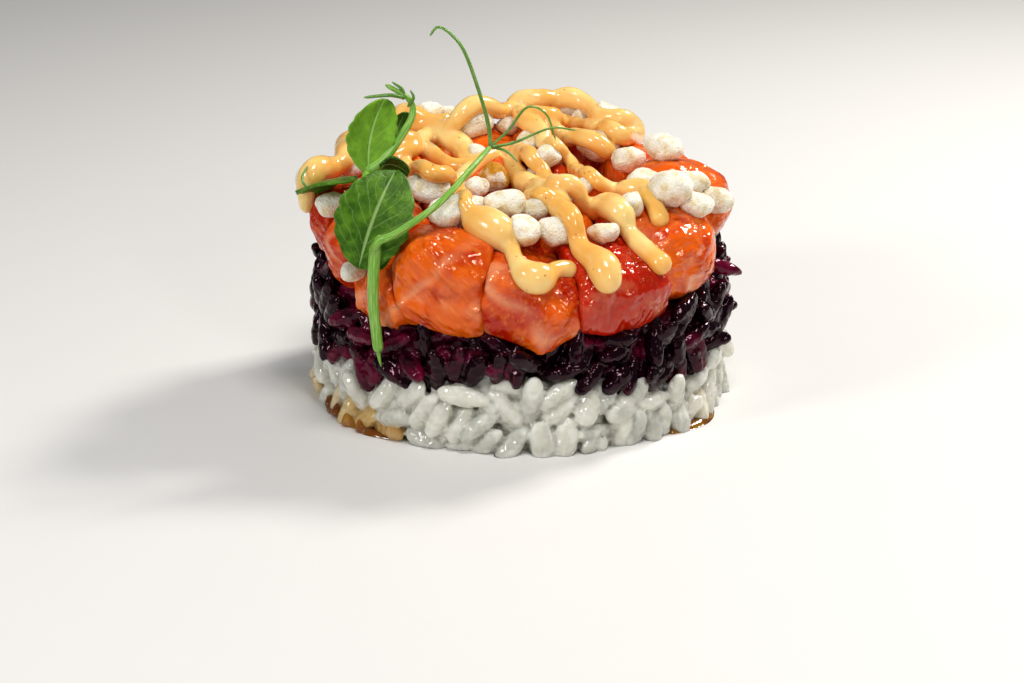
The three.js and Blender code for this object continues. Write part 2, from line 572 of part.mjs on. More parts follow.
/** The puffed grains and the sauce that binds them, resting on the salmon. */
function buildHeap(salmon) {
  const random = seededRandom(SEEDS.crisps);
  const bed = [namedMesh('bed', salmon.space, SALMON_FINISH)];
  const crisps = HEAP_CRISPS.map((row) => crispSolid(row, bed, random));
  const loose = crisps.map((solid) => namedMesh('crisp', solid, CRISP_FINISH));
  const strokes = SAUCE_STROKES.map((places) => sauceStroke(places, bed, loose));
  const heap = joined([...crisps, ...strokes]).subtract(salmon.space);
  const free = Object.entries(FREE_CRISPS).map(([name, rows]) => {
    const stuck = joined(rows.map((row) => crispSolid(row, bed, random)));
    return namedMesh(name, stuck.subtract(salmon.space), CRISP_FINISH);
  });
  return [namedMesh('crisps_and_sauce', heap, SAUCE_FINISH), ...free];
}

/** The pea shoot as one solid. */
function buildShoot() {
  const leaves = LEAVES.map(leafSolid);
  const stems = STEMS.map(([points, thickness, steps, sides]) => (
    stemSolid(points, thickness, steps, sides)));
  return namedMesh('pea_shoot', joined([...stems, ...leaves]), SHOOT_FINISH);
}

const salmon = buildSalmon();
const grains = scatterGrains();
const whiteGrains = grains.filter(({ grain }) => grain === WHITE_GRAIN);
const blackGrains = grains.filter(({ grain }) => grain === BLACK_GRAIN);
const sushi = new THREE.Group();
sushi.name = 'pressed_sushi';
sushi.add(
  buildWhiteRice(whiteGrains, blackGrains),
  buildBlackRice(blackGrains, salmon.space),
  ...salmon.meshes,
  ...buildHeap(salmon),
  buildShoot(),
);

export default sushi;
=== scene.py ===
"""A round pressed sushi: white rice, black rice, diced raw salmon, puffed rice under a creamy drizzle,
and a pea shoot leaning on the front. Metres; a table in millimetres says so. The front faces -Y.
A bearing is in degrees round the cake, from the front towards +X."""

import math
import random

import bmesh
import bpy
import numpy as np
from bpy.props import FloatProperty, FloatVectorProperty, IntProperty, PointerProperty
from mathutils import Euler, Matrix, Vector, noise
from mathutils.bvhtree import BVHTree


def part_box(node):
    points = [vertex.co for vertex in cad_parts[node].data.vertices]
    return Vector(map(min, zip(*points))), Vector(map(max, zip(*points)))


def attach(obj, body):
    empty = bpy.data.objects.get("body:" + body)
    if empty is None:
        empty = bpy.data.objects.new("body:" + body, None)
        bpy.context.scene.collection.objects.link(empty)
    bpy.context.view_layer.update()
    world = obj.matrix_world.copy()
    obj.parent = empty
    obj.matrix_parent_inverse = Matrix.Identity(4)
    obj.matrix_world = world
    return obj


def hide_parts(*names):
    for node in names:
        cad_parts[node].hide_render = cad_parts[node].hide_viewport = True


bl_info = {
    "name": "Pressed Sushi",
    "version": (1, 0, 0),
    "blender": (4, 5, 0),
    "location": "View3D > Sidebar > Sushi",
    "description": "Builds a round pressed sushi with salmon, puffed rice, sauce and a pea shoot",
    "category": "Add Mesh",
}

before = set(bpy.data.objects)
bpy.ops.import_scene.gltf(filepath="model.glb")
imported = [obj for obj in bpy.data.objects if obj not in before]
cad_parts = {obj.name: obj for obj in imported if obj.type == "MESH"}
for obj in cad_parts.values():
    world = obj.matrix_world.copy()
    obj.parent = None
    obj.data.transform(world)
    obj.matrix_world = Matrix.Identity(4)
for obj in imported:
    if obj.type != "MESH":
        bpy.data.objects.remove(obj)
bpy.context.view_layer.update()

MM = 0.001
DICE = sorted(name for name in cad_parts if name.startswith("salmon_"))
FREE_CRISP_NODES = sorted(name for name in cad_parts
                          if name.startswith("crisp") and name != "crisps_and_sauce")

# ---- Places and driving sizes, in millimetres -------------------------------------------------------

CORE_RADIUS = 31.5              # packed rice behind the grains that show
CORE_BUMPS = 0.7                # how far the bumps on its side reach
SIDE_RADIUS = 33.5              # where the side is unrolled to settle the grains
HIDDEN_RADIUS = 30.4            # rice nearer to the axis never shows
WHITE_DISTANCES = (33.4, 32.0)  # from the axis to the outer and to the inner grains
BLACK_DISTANCES = (33.8, 31.9)
LAYER_EDGE = 11.4               # mean height where white rice meets black
LAYER_WAVE = 1.6
LAYER_WAVES = 4                 # wanderings of that edge round the cake
BLACK_TOP = 21.6                # black rice under the salmon, on the axis
BLACK_TOP_SLOPE = 0.09          # it rises to the back
RICE_CEILING = 25.0             # highest middle of a grain at the side
WHITE_STRAY = 1.4               # how far a white grain may reach over that edge
BLACK_STRAY = 2.6               # and a black one below it
LEANING_SHARE = 0.75            # share of the grains that lean alike
LEAN = (0.7, 0.45)              # their mean lean from level and its spread, in radians
SALMON_COVERS = 2.5             # salmon this near to a grain's middle takes its place
SALMON_PRESSES = 1.5            # this near to any part of it, salmon pushes it in
PRESSED_IN = 1.4                # by this much

# Each puffed grain in the heap: where the picture shows its middle (across and down), its length
# there and its turn in degrees.
HEAP_CRISPS = [
    (311, 181, 30, 15), (351, 166, 28, 60), (419, 121, 26, 20), (430, 111, 24, 0), (446, 114, 26, 160),
    (438, 130, 24, 10), (400, 149, 24, 40), (474, 122, 36, 25), (479, 153, 22, 10),
    (531, 105, 32, 170), (511, 124, 26, 30), (539, 124, 26, 0), (531, 142, 28, 20),
    (547, 157, 30, 60), (495, 176, 34, 80), (537, 177, 24, 30), (477, 187, 26, 50),
    (504, 204, 36, 165), (474, 204, 24, 90), (449, 212, 38, 35), (524, 231, 36, 75),
    (536, 210, 28, 20), (557, 232, 34, 170), (569, 106, 30, 30), (587, 115, 26, 15),
    (611, 125, 26, 165), (608, 113, 24, 0), (598, 145, 42, 150), (643, 181, 30, 15),
    (670, 188, 46, 100), (695, 184, 30, 30), (568, 195, 28, 40), (583, 187, 22, 70),
    (632, 204, 28, 80), (604, 231, 28, 20), (433, 186, 30, 120),
]
TOASTED_CRISP = 14              # the golden one

# Puffed grains free of the sauce, in the same way.
FREE_CRISPS = [
    (629, 159, 37, 40), (664, 149, 38, 145), (697, 203, 34, 20), (716, 200, 36, 165),
    (333, 205, 32, 10), (427, 188, 44, 150), (354, 271, 30, 40),
]
HEAP_GROWTH = 1.2               # a grain is longer than the part of it that shows
FREE_GROWTH = 1.05
CRISP_LIFT = 0.75               # how far its middle stands off its bed, in half depths

SAUCE_GROWTH = 1.18             # a stroke is set wider, as smoothing narrows it
CLING = 0.35                    # how far a stroke's middle stands off its bed, in half widths
BRIDGE = 0.9                    # and how much further, in millimetres, over a hollow
BEAD_STEP = 0.4                 # distance between two beads of a stroke
CLING_ROUNDS = 4                # rounds in which a stroke settles on its bed
EASING_ROUNDS = 5               # smoothing passes in each

# Each stroke of sauce: where the picture shows it (across and down), with its half width there.
SAUCE_STROKES = [
    # round the left rim, behind the leaves and along the back
    [(307, 206, 7), (306, 192, 8), (309, 176, 11), (322, 168, 11), (337, 168, 9), (345, 158, 9),
     (346, 144, 10), (356, 132, 9), (376, 124, 8), (396, 114, 9), (412, 114, 9), (430, 122, 8),
     (452, 126, 8), (462, 114, 9), (474, 105, 10), (488, 106, 9), (500, 110, 8), (512, 110, 8),
     (527, 121, 9), (542, 133, 8), (556, 146, 6), (569, 160, 6), (590, 175, 7), (606, 188, 7),
     (620, 193, 8), (630, 187, 9), (642, 188, 9), (651, 199, 7), (657, 211, 8), (660, 219, 8.5)],
    # the loop at the back right
    [(500, 110, 7), (518, 102, 9), (536, 99, 9), (554, 101, 9), (573, 98, 10), (588, 106, 8),
     (603, 117, 7), (622, 119, 9), (636, 127, 9), (634, 138, 9), (615, 135, 9), (592, 127, 7),
     (570, 123, 7), (548, 116, 8), (532, 112, 7)],
    [(548, 124, 6), (560, 134, 8), (578, 137, 8), (595, 141, 9), (606, 151, 9)],
    # from the left to the middle and over to the front right
    [(392, 158, 8), (406, 150, 8), (421, 147, 8), (436, 158, 8), (455, 166, 7), (472, 165, 7),
     (486, 158, 7), (500, 152, 7), (517, 149, 8), (532, 157, 8), (544, 174, 7), (556, 184, 8),
     (571, 183, 9), (580, 198, 7), (592, 210, 9), (606, 206, 12), (620, 212, 12), (627, 229, 8),
     (641, 246, 9), (654, 258, 9), (660, 264, 10)],
    # the deep hump in the middle left
    [(392, 140, 7), (410, 138, 8), (430, 133, 9), (449, 139, 13), (463, 150, 11), (474, 162, 7)],
    # from the left to the first drop at the front
    [(384, 160, 6), (404, 163, 7), (424, 169, 8), (442, 176, 8), (456, 184, 7), (464, 201, 6),
     (470, 214, 8), (481, 225, 15), (498, 231, 15), (509, 244, 9), (514, 257, 7), (519, 268, 9),
     (530, 279, 13), (541, 280, 13), (550, 273, 8), (559, 268, 7.5), (567, 269, 8.5)],
    [(456, 184, 6), (464, 174, 7), (480, 161, 7), (494, 154, 6)],
    # from the middle to the large drop at the front
    [(503, 154, 6), (512, 165, 8), (521, 181, 10), (538, 190, 10), (556, 202, 11), (570, 217, 9),
     (577, 235, 8), (580, 250, 9), (594, 258, 11), (604, 268, 14), (608, 279, 12)],
    # thinner ones between
    [(346, 134, 8), (349, 144, 8), (351, 156, 6)],
    [(414, 128, 6), (432, 124, 8), (448, 120, 7)],
    [(528, 196, 6), (544, 196, 8), (560, 205, 7)],
]

# The dice that show most: how the flesh is turned in each (degrees), and its tone from red to orange.
# The tone is partly the flesh's own colour and partly painted light and shade: low on the dice in
# shade, such as the one set deep between others, and high on those the lights reach.
DICE_FLESH = {
    "salmon_01": ((10, 35, 60), 0.5), "salmon_02": ((0, 70, 15), -0.05),
    "salmon_03": ((20, 20, -50), 0.8), "salmon_04": ((0, -30, -60), 0.9),
    "salmon_12": ((0, 40, 70), 0.45), "salmon_13": ((15, -60, 30), 0.8),
    "salmon_14": ((0, -45, 12), 0.8), "salmon_15": ((0, 20, -20), 0.1),
}

# The dice whose lower front edge hangs in a tip: where across, how wide, how far down and out.
HANGING_TIPS = {"salmon_01": (3.0, 3.4, 3.0, 1.0)}
TIP_HEIGHT = 6.0                # how far up the dice the pull fades out
TIP_DEPTH = 8.0                 # and how far in from its front

# Leaves of the shoot: base, bend and tip of the midrib, the way across, half width, and its form.
# A leaf's tone makes its green lighter or darker: painted shade on the partner and on the one in the
# fork, partly painted light on the upper one.
LEAVES = [
    # the large one that leans on the front left
    {"base": (-25.4, -28.4, 29.4), "bend": (-23.6, -29.4, 38.0), "tip": (-19.8, -20.5, 43.0),
     "across": (0.93, 0.1, -0.36), "half": 5.6, "cup": 0.12, "wave": 0.3, "teeth": 0.5,
     "tone": 0.05},
    # its partner, in the shade behind it, its green painted darker as shade
    {"base": (-22.4, -26.2, 28.6), "bend": (-20.4, -25.4, 34.0), "tip": (-17.4, -22.4, 39.4),
     "across": (0.86, 0.2, -0.46), "half": 1.0, "cup": 0.2, "wave": 0.2, "teeth": 0.1,
     "tone": -0.3},
    # the upper one, upright, lighter green: partly its own, partly painted light shining through it
    # from behind
    {"base": (-24.4, -14.6, 41.0), "bend": (-25.0, -11.5, 47.0), "tip": (-21.8, -10.0, 52.2),
     "across": (0.95, 0.25, -0.15), "half": 3.6, "cup": 0.16, "wave": 0.3, "teeth": 0.35,
     "tone": 0.85},
    # grey green, behind the upper stem
    {"base": (-19.9, -9.8, 45.0), "bend": (-20.4, -7.5, 47.0), "tip": (-18.6, -7.8, 49.4),
     "across": (0.9, 0.4, 0.0), "half": 1.4, "cup": 0.1, "wave": 0.1, "teeth": 0.0,
     "tone": 0.1},
    # in the fork, its green painted dark as shade
    {"base": (-22.6, -14.6, 42.2), "bend": (-20.4, -12.5, 42.8), "tip": (-18.0, -12.4, 40.4),
     "across": (-0.3, 0.5, -0.8), "half": 1.5, "cup": 0.1, "wave": 0.1, "teeth": 0.0,
     "tone": -0.4},
    # on the left, its edge to the front
    {"base": (-26.3, -12.6, 39.8), "bend": (-31.0, -12.6, 39.6), "tip": (-36.4, -11.6, 37.0),
     "across": (0.1, -0.94, 0.32), "half": 5.0, "cup": 0.14, "wave": 0.35, "teeth": 0.2,
     "tone": 0.1},
]
LEAF_FULLNESS = 0.62            # below 1 a leaf is fuller towards its ends
LEAF_NECK = 0.4                 # half width at both ends
LEAF_TEETH_RATE = 19.0          # of the teeth along a leaf's edge
LEAF_WAVE_RATE = 7.0            # and of the slow wave in it

# Stems and tendrils: the points of each, and its half thickness at both ends.
FORK = (-4.9, -10.0, 44.2)
LOWER_NODE = (-22.7, -28.6, 33.2)
UPPER_NODE = (-24.8, -14.5, 41.1)
STEMS = [
    ([(-23.0, -28.7, 31.2), (-22.7, -28.7, 33.0), (-22.0, -28.6, 34.8)], (1.0, 0.45)),
    ([LOWER_NODE, (-23.1, -28.9, 28.5), (-23.2, -28.8, 23.5), (-22.5, -28.9, 15.6)], (1.0, 0.85)),
    ([(-23.0, -28.9, 31.8), (-22.1, -29.1, 33.9), (-19.2, -29.2, 35.4), (-12.8, -26.0, 39.2),
      (-7.7, -17.5, 42.8), FORK], (0.72, 0.42)),
    ([(-22.6, -28.9, 16.4), (-22.4, -29.2, 14.7), (-22.1, -29.3, 13.3)], (0.42, 0.12)),
    ([(-22.6, -27.6, 32.6), (-22.9, -25.6, 36.3), (-24.2, -21.0, 39.4), UPPER_NODE], (0.6, 0.7)),
    ([UPPER_NODE, (-22.3, -13.5, 42.6), (-19.7, -11.0, 45.6), (-17.5, -9.0, 49.1), (-18.0, -9.0, 51.9),
      (-21.6, -10.5, 54.6)], (0.95, 0.35)),
]
TENDRILS = [
    ([(-18.6, -9.4, 52.3), (-21.1, -11.0, 53.0), (-25.0, -13.0, 53.1)], (0.4, 0.24)),
    ([FORK, (-5.0, -9.2, 46.4), (-6.0, -10.0, 51.2), (-8.7, -12.0, 59.8), (-10.9, -12.0, 63.0),
      (-13.1, -12.0, 64.3), (-14.4, -12.0, 62.9)], (0.38, 0.2)),
    ([FORK, (-1.9, -7.0, 46.3), (1.1, -5.5, 49.7), (4.2, -4.0, 48.2), (5.8, -4.0, 43.9)], (0.26, 0.15)),
    ([FORK, (-1.0, -9.0, 44.7), (4.8, -8.0, 46.8), (9.1, -6.0, 46.0)], (0.28, 0.15)),
    ([FORK, (-2.4, -9.4, 43.4), (-0.4, -10.6, 41.9)], (0.26, 0.16)),
    ([(-34.6, -12.0, 37.9), (-35.4, -11.0, 39.3), (-34.4, -8.0, 40.8)], (0.26, 0.16)),
    ([(-18.9, -9.3, 51.9), (-19.0, -9.6, 53.6), (-20.6, -10.2, 55.0)], (0.4, 0.2)),
    ([(-18.2, -8.9, 50.6), (-17.2, -9.6, 52.2), (-17.7, -10.0, 53.6)], (0.34, 0.18)),
]

# Soy that ran out under the rice: the bearing, distance, height and half thickness along each line.
SOY_LINES = [
    [(-71, 33.6, 0.2, 0.7), (-66, 33.9, 0.0, 1.0), (-61, 33.8, 0.2, 0.8), (-56, 34.2, 0.0, 1.2),
     (-51, 34.0, 0.1, 0.9), (-46, 34.3, -0.1, 1.1), (-41, 34.1, -0.1, 0.7), (-37, 33.8, 0.0, 0.4)],
    [(-68, 34.0, 2.1, 0.6), (-67, 34.4, 1.2, 0.8)],
    [(-62, 34.2, 1.9, 0.5), (-61, 34.6, 1.0, 0.9)],
    [(-55, 34.5, 1.7, 0.6), (-54, 34.9, 0.7, 1.0)],
    [(-49, 34.6, 1.5, 0.5), (-48, 34.9, 0.6, 0.9)],
    [(46, 34.2, -0.2, 0.7), (50, 34.5, -0.4, 1.1), (54, 34.7, -0.6, 1.4), (58, 34.8, -0.6, 1.5),
     (62, 34.6, -0.5, 1.3), (66, 34.2, -0.3, 0.9), (69, 33.9, -0.2, 0.6)],
]
SOY_STAINS = [(-50, 20, 4.4), (60, 8, 2.5), (-85, 9, 8.0)]   # bearing, reach in degrees, height
STAIN_STRENGTH = 2.6            # how fast a stain deepens from the edge of its reach
STAIN_LIMIT = 0.95

# The camera, in millimetres and degrees down from level; places in the picture are in its pixels.
CAMERA_PLACE = (-1.366, -424.19, 150.21)
CAMERA_PITCH = 18.576
LENS = 92.67
SENSOR = 36.0
PICTURE = (1024, 683)
FOCAL = LENS / SENSOR * PICTURE[0]
LOOK_FROM = 380.0               # how far ahead of the camera the cake begins
LOOK_TO = 40.0                  # where it ends at the back
LOOK_ASIDE = 5.0                # how far past the rim a thing may hang over
LOOK_CLOSE = 0.02               # near enough to count as touching
LOOK_STEP = 0.05                # shortest step along a line of sight
SPAN = 0.163                    # millimetres that a pixel spans on the cake

# The lights: place, size and tint. Each turns to the middle of the cake.
LIT_PLACE = (0.0, 0.0, 22.0)
LIGHTS = {
    "key": ((270, 200, 330), 90, (1.0, 0.97, 0.93)),
    "fill": ((-410, -320, 290), 110, (0.96, 0.98, 1.0)),
    "front": ((190, -500, 270), 70, (1.0, 0.99, 0.97)),
    "top": ((50, -170, 460), 130, (1.0, 1.0, 1.0)),
}
SKY_TINT = (0.95, 0.97, 1.0, 1.0)

# ---- Sizes and colours a user would change -----------------------------------------------------------


def linear(code):
    """A colour written #rrggbb, as linear values with full alpha."""
    shares = [int(code[i:i + 2], 16) / 255 for i in (1, 3, 5)]
    return tuple(c / 12.92 if c <= 0.04045 else ((c + 0.055) / 1.055) ** 2.4 for c in shares) + (1.0,)


def length(name, millimetres, description):
    """A length property, given in millimetres."""
    return FloatProperty(name=name, description=description, default=millimetres * MM, min=0.0,
                         precision=5, unit="LENGTH")


def colour(name, code, description):
    """A colour property."""
    return FloatVectorProperty(name=name, description=description, default=linear(code), size=4,
                               min=0.0, max=1.0, subtype="COLOR")


class RiceSettings(bpy.types.PropertyGroup):
    grain_length: length("Grain Length", 8.1, "Length of a cooked grain")
    white_width: length("White Width", 3.8, "Width of a white grain")
    black_width: length("Black Width", 3.2, "Width of a black grain")
    wobble: length("Wobble", 0.95, "How uneven each grain is")
    closeness: FloatProperty(name="Closeness", description="Share of its width a grain keeps free",
                             default=0.88, min=0.1, max=1.5)
    white_voxel: length("White Voxel", 0.305, "Size of the faces of the white rice")
    black_voxel: length("Black Voxel", 0.34, "Size of the faces of the black rice")
    grains: IntProperty(name="Grains", description="Grains in each layer round the side",
                        default=290, min=10)
    rounds: IntProperty(name="Settling", description="Rounds in which the grains push apart",
                        default=26, min=0)
    seed: IntProperty(name="Seed", description="Seed of every draw in the rice", default=11)
    white: colour("White", "#e8e7dc", "White rice")
    black: colour("Black", "#100107", "Black rice")
    crimson: colour("Crimson", "#66062a", "Black rice where its colour thins")


class SalmonSettings(bpy.types.PropertyGroup):
    voxel: length("Voxel", 0.4, "Size of the faces of the dice")
    swell: length("Swell", 0.28, "How far the dice press into each other")
    warp: length("Warp", 2.6, "How far the cuts between dice wander")
    lumps: length("Lumps", 0.55, "Depth of the slow lumps of a dice")
    band: length("Band", 7.0, "Distance between two lines of fat")
    groove: length("Groove", 0.16, "Depth of the groove at a line of fat")
    seed: IntProperty(name="Seed", description="Seed of the turn of each dice's grain", default=5)
    # The finish mixes flesh and deep by slow noise and by each dice's tone, so flesh also stands for
    # painted light and deep for painted shade.
    flesh: colour("Flesh", "#e8620c", "Lit flesh")
    deep: colour("Deep", "#ba1a03", "Redder flesh between the lines of fat")
    fat: colour("Fat", "#ffbe8c", "Lines of fat")


class ToppingSettings(bpy.types.PropertyGroup):
    crisp_length: length("Crisp Length", 6.6, "Length of a puffed grain")
    crisp_width: length("Crisp Width", 4.9, "Width of a puffed grain")
    crisp_depth: length("Crisp Depth", 4.5, "Depth of a puffed grain")
    sauce_voxel: length("Sauce Voxel", 0.34, "Size of the faces of the sauce")
    seed: IntProperty(name="Seed", description="Seed of the puffed grains", default=83)
    crisp: colour("Crisp", "#faf3e2", "Puffed rice")
    sauce: colour("Sauce", "#fbd78c", "Creamy sauce")
    soy: colour("Soy", "#a35a0c", "Thin soy sauce")
    stain: colour("Stain", "#a86e1a", "White rice that soaked up soy sauce")


class ShootSettings(bpy.types.PropertyGroup):
    leaf_thickness: length("Leaf Thickness", 0.4, "Thickness of a leaf")
    leaf: colour("Leaf", "#194804", "Leaf")
    leaf_light: colour("Light Leaf", "#8cc232", "Paler parts of a leaf")
    stem: colour("Stem", "#67a32a", "Stem")
    tendril: colour("Tendril", "#4c7a2b", "Tendrils")


class StageSettings(bpy.types.PropertyGroup):
    floor: colour("Floor", "#e4e2de", "Plain pale floor")
    key: FloatProperty(name="Key", description="Light from the back right", default=1.7, min=0.0,
                       unit="POWER")
    fill: FloatProperty(name="Fill", description="Soft light from the front left", default=1.15,
                        min=0.0, unit="POWER")
    front: FloatProperty(name="Front", description="Soft light from the front right", default=0.44,
                         min=0.0, unit="POWER")
    top: FloatProperty(name="Top", description="Soft light from above", default=1.2, min=0.0,
                       unit="POWER")
    sky: FloatProperty(name="Sky", description="Strength of the even light all round", default=0.13,
                       min=0.0)
    lens: FloatProperty(name="Lens", description="Focal length of the camera in millimetres",
                        default=LENS, min=1.0)


# ---- Shared helpers ----------------------------------------------------------------------------------


def around(bearing, distance, height):
    """The place at a bearing round the cake, a distance from its axis and a height, in millimetres."""
    angle = math.radians(bearing)
    return Vector((distance * math.sin(angle), -distance * math.cos(angle), height))


def layer_edge(bearing):
    """Height where white rice meets black, round the cake."""
    return LAYER_EDGE + LAYER_WAVE * math.cos(math.radians(LAYER_WAVES * bearing))


def add(tree, kind, inputs=None, **settings):
    """Adds a node to a tree, sets its properties, and links or fills its inputs by name or number."""
    made = tree.nodes.new(kind)
    for key, value in settings.items():
        setattr(made, key, value)
    for key, value in (inputs or {}).items():
        if isinstance(value, bpy.types.NodeSocket):
            tree.links.new(value, made.inputs[key])
        else:
            made.inputs[key].default_value = value
    return made


def maths(tree, operation, *values):
    """A Math node on sockets or numbers, as its output."""
    kind = "ShaderNodeMath"
    return add(tree, kind, dict(enumerate(values)), operation=operation).outputs[0]


def vectors(tree, operation, *values):
    """A Vector Math node on sockets or vectors, as its vector output."""
    kind = "ShaderNodeVectorMath"
    return add(tree, kind, dict(enumerate(values)), operation=operation).outputs["Vector"]


def ramp(tree, value, low, high):
    """A smooth step from 0 to 1 while a value goes from low to high."""
    inputs = {"Value": value, "From Min": low, "From Max": high}
    return add(tree, "ShaderNodeMapRange", inputs, interpolation_type="SMOOTHSTEP").outputs["Result"]


def flipped(tree, share):
    """One minus a share."""
    return maths(tree, "SUBTRACT", 1.0, share)


def scaled(tree, vector, size):
    """A vector times a number."""
    return add(tree, "ShaderNodeVectorMath", {0: vector, "Scale": size}, operation="SCALE").outputs[0]


def blended(tree, share, first, second):
    """Two colours mixed by a share, as a colour output."""
    made = add(tree, "ShaderNodeMix", data_type="RGBA")
    for socket, value in ((made.inputs[0], share), (made.inputs[6], first), (made.inputs[7], second)):
        if isinstance(value, bpy.types.NodeSocket):
            tree.links.new(value, socket)
        else:
            socket.default_value = value
    return made.outputs[2]


def noisy(tree, place, scale, detail=2.0, roughness=0.5, output="Fac", **inputs):
    """A Noise Texture's output; the scale is in waves to the metre."""
    fill = {"Vector": place, "Scale": scale, "Detail": detail, "Roughness": roughness, **inputs}
    dimensions = "4D" if "W" in inputs else "3D"
    return add(tree, "ShaderNodeTexNoise", fill, noise_dimensions=dimensions).outputs[output]


def new_tree(name, sockets):
    """A geometry tree with one mesh in and out, and named inputs: (tree, input node, output node)."""
    tree = bpy.data.node_groups.new(name, "GeometryNodeTree")
    tree.interface.new_socket("Geometry", in_out="INPUT", socket_type="NodeSocketGeometry")
    tree.interface.new_socket("Geometry", in_out="OUTPUT", socket_type="NodeSocketGeometry")
    for label, kind in sockets.items():
        tree.interface.new_socket(label, in_out="INPUT", socket_type=f"NodeSocket{kind}")
    return tree, tree.nodes.new("NodeGroupInput").outputs, tree.nodes.new("NodeGroupOutput")


def set_inputs(modifier, values):
    """Sets the inputs of a geometry modifier by their names."""
    for item in modifier.node_group.interface.items_tree:
        if item.item_type == "SOCKET" and item.in_out == "INPUT" and item.name in values:
            modifier[item.identifier] = values[item.name]


def position(tree):
    """The place of each point."""
    return add(tree, "GeometryNodeInputPosition").outputs[0]


def held(tree, label, kind="FLOAT"):
    """A named attribute of the points."""
    node = "GeometryNodeInputNamedAttribute"
    return add(tree, node, {"Name": label}, data_type=kind).outputs["Attribute"]


def stored(tree, geometry, label, value, kind="FLOAT"):
    """Keeps a value on the points under a name."""
    return add(tree, "GeometryNodeStoreNamedAttribute", {
        "Geometry": geometry, "Name": label, "Value": value}, data_type=kind, domain="POINT").outputs[0]


def moved(tree, geometry, **inputs):
    """Sets the points' Position, or moves them by an Offset."""
    return add(tree, "GeometryNodeSetPosition", {"Geometry": geometry, **inputs}).outputs[0]


def eased(tree, value, rounds):
    """A vector field averaged with its neighbours a number of times."""
    inputs = {"Value": value, "Iterations": rounds}
    return add(tree, "GeometryNodeBlurAttribute", inputs, data_type="FLOAT_VECTOR").outputs[0]


def coated(tree, geometry, finish):
    """The tree's last steps: real, smooth and with its material."""
    real = add(tree, "GeometryNodeRealizeInstances", {"Geometry": geometry}).outputs[0]
    smooth = add(tree, "GeometryNodeSetShadeSmooth", {"Geometry": real}).outputs[0]
    return add(tree, "GeometryNodeSetMaterial", {"Geometry": smooth, "Material": finish}).outputs[0]


def grown(name, mesh, tree, values, prepare=None):
    """Runs a geometry tree on a mesh, after any modifiers that prepare adds, as a plain mesh object."""
    start = bpy.data.objects.new(f"{name}_start", mesh)
    bpy.context.scene.collection.objects.link(start)
    if prepare:
        prepare(start)
    modifier = start.modifiers.new("Shape", "NODES")
    modifier.node_group = tree
    set_inputs(modifier, values)
    depsgraph = bpy.context.evaluated_depsgraph_get()
    result = bpy.data.meshes.new_from_object(
        start.evaluated_get(depsgraph), preserve_all_data_layers=True, depsgraph=depsgraph)
    bpy.data.objects.remove(start)
    return placed(name, result)


def placed(name, mesh):
    """A new object for a mesh, in the scene."""
    mesh.name = name
    piece = bpy.data.objects.new(name, mesh)
    bpy.context.scene.collection.objects.link(piece)
    return piece


def finished(piece, nodes=()):
    """Makes a piece part of the cake: it rides on the body and stands for CAD nodes."""
    if not piece.data.polygons:
        raise RuntimeError(f"{piece.name} has no faces")
    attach(piece, "root")
    if nodes:
        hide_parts(*nodes)


def points_mesh(name, points, attributes=None, edges=()):
    """A mesh of loose points or lines with named attributes, from places in metres."""
    mesh = bpy.data.meshes.new(name)
    mesh.from_pydata([tuple(point) for point in points], edges, [])
    for label, values in (attributes or {}).items():
        values = np.asarray(values, np.float32)
        kind, field = ("FLOAT", "value") if values.ndim == 1 else ("FLOAT_VECTOR", "vector")
        mesh.attributes.new(label, kind, "POINT").data.foreach_set(field, values.ravel())
    return mesh


def catmull(rows, step):
    """Rows of numbers as a smooth curve through them, about a step apart over their first numbers."""
    rows = np.asarray(rows, float)
    ends = np.vstack([2 * rows[0] - rows[1], rows, 2 * rows[-1] - rows[-2]])
    made = []
    for before, start, stop, after in zip(ends, ends[1:], ends[2:], ends[3:]):
        count = max(1, round(float(np.linalg.norm(stop[:2] - start[:2]) / step)))
        for t in np.arange(count) / count:
            made.append(0.5 * (2 * start + (stop - before) * t
                               + (2 * before - 5 * start + 4 * stop - after) * t ** 2
                               + (3 * start - before - 3 * stop + after) * t ** 3))
    return np.array(made + [rows[-1]])


def catmull_by_length(rows, step):
    """Rows of x, y, z and more as a smooth curve with even steps along its length."""
    fine = catmull(rows, step / 4)
    run = np.concatenate([[0], np.cumsum(np.linalg.norm(np.diff(fine[:, :3], axis=0), axis=1))])
    stops = np.linspace(0, run[-1], max(4, round(run[-1] / step)))
    return np.stack([np.interp(stops, run, fine[:, k]) for k in range(fine.shape[1])], 1)


def tree_of_faces(meshes):
    """One search tree over the faces of some meshes, in metres."""
    corners, faces = [], []
    for mesh in meshes:
        faces += [[len(corners) + i for i in polygon.vertices] for polygon in mesh.polygons]
        corners += [vertex.co.copy() for vertex in mesh.vertices]
    return BVHTree.FromPolygons(corners, faces)


def salmon_bed():
    """The dice as one surface to rest things on."""
    return tree_of_faces(bpy.data.objects[f"{name}_flesh"].data for name in DICE)


def seen(surface, across, down, lift):
    """Where a thing that the picture shows at a place lies, its middle a lift off a surface (mm)."""
    pitch = math.radians(CAMERA_PITCH)
    right, rise = (across - PICTURE[0] / 2) / FOCAL, (PICTURE[1] / 2 - down) / FOCAL
    way = Vector((right, math.cos(pitch) + rise * math.sin(pitch),
                  rise * math.cos(pitch) - math.sin(pitch))).normalized()
    place = Vector(CAMERA_PLACE) + way * LOOK_FROM
    nearest = (math.inf, place)
    while place.y < LOOK_TO and nearest[0] > LOOK_CLOSE:
        off = surface.find_nearest(place * MM)[3] / MM - lift
        nearest = min(nearest, (off, place), key=lambda pair: pair[0])
        place = place + way * max(off, LOOK_STEP)
    if nearest[0] > LOOK_ASIDE:
        raise RuntimeError(f"nothing carries what the picture shows at {across}, {down}")
    return nearest[1]


# ---- Materials ---------------------------------------------------------------------------------------


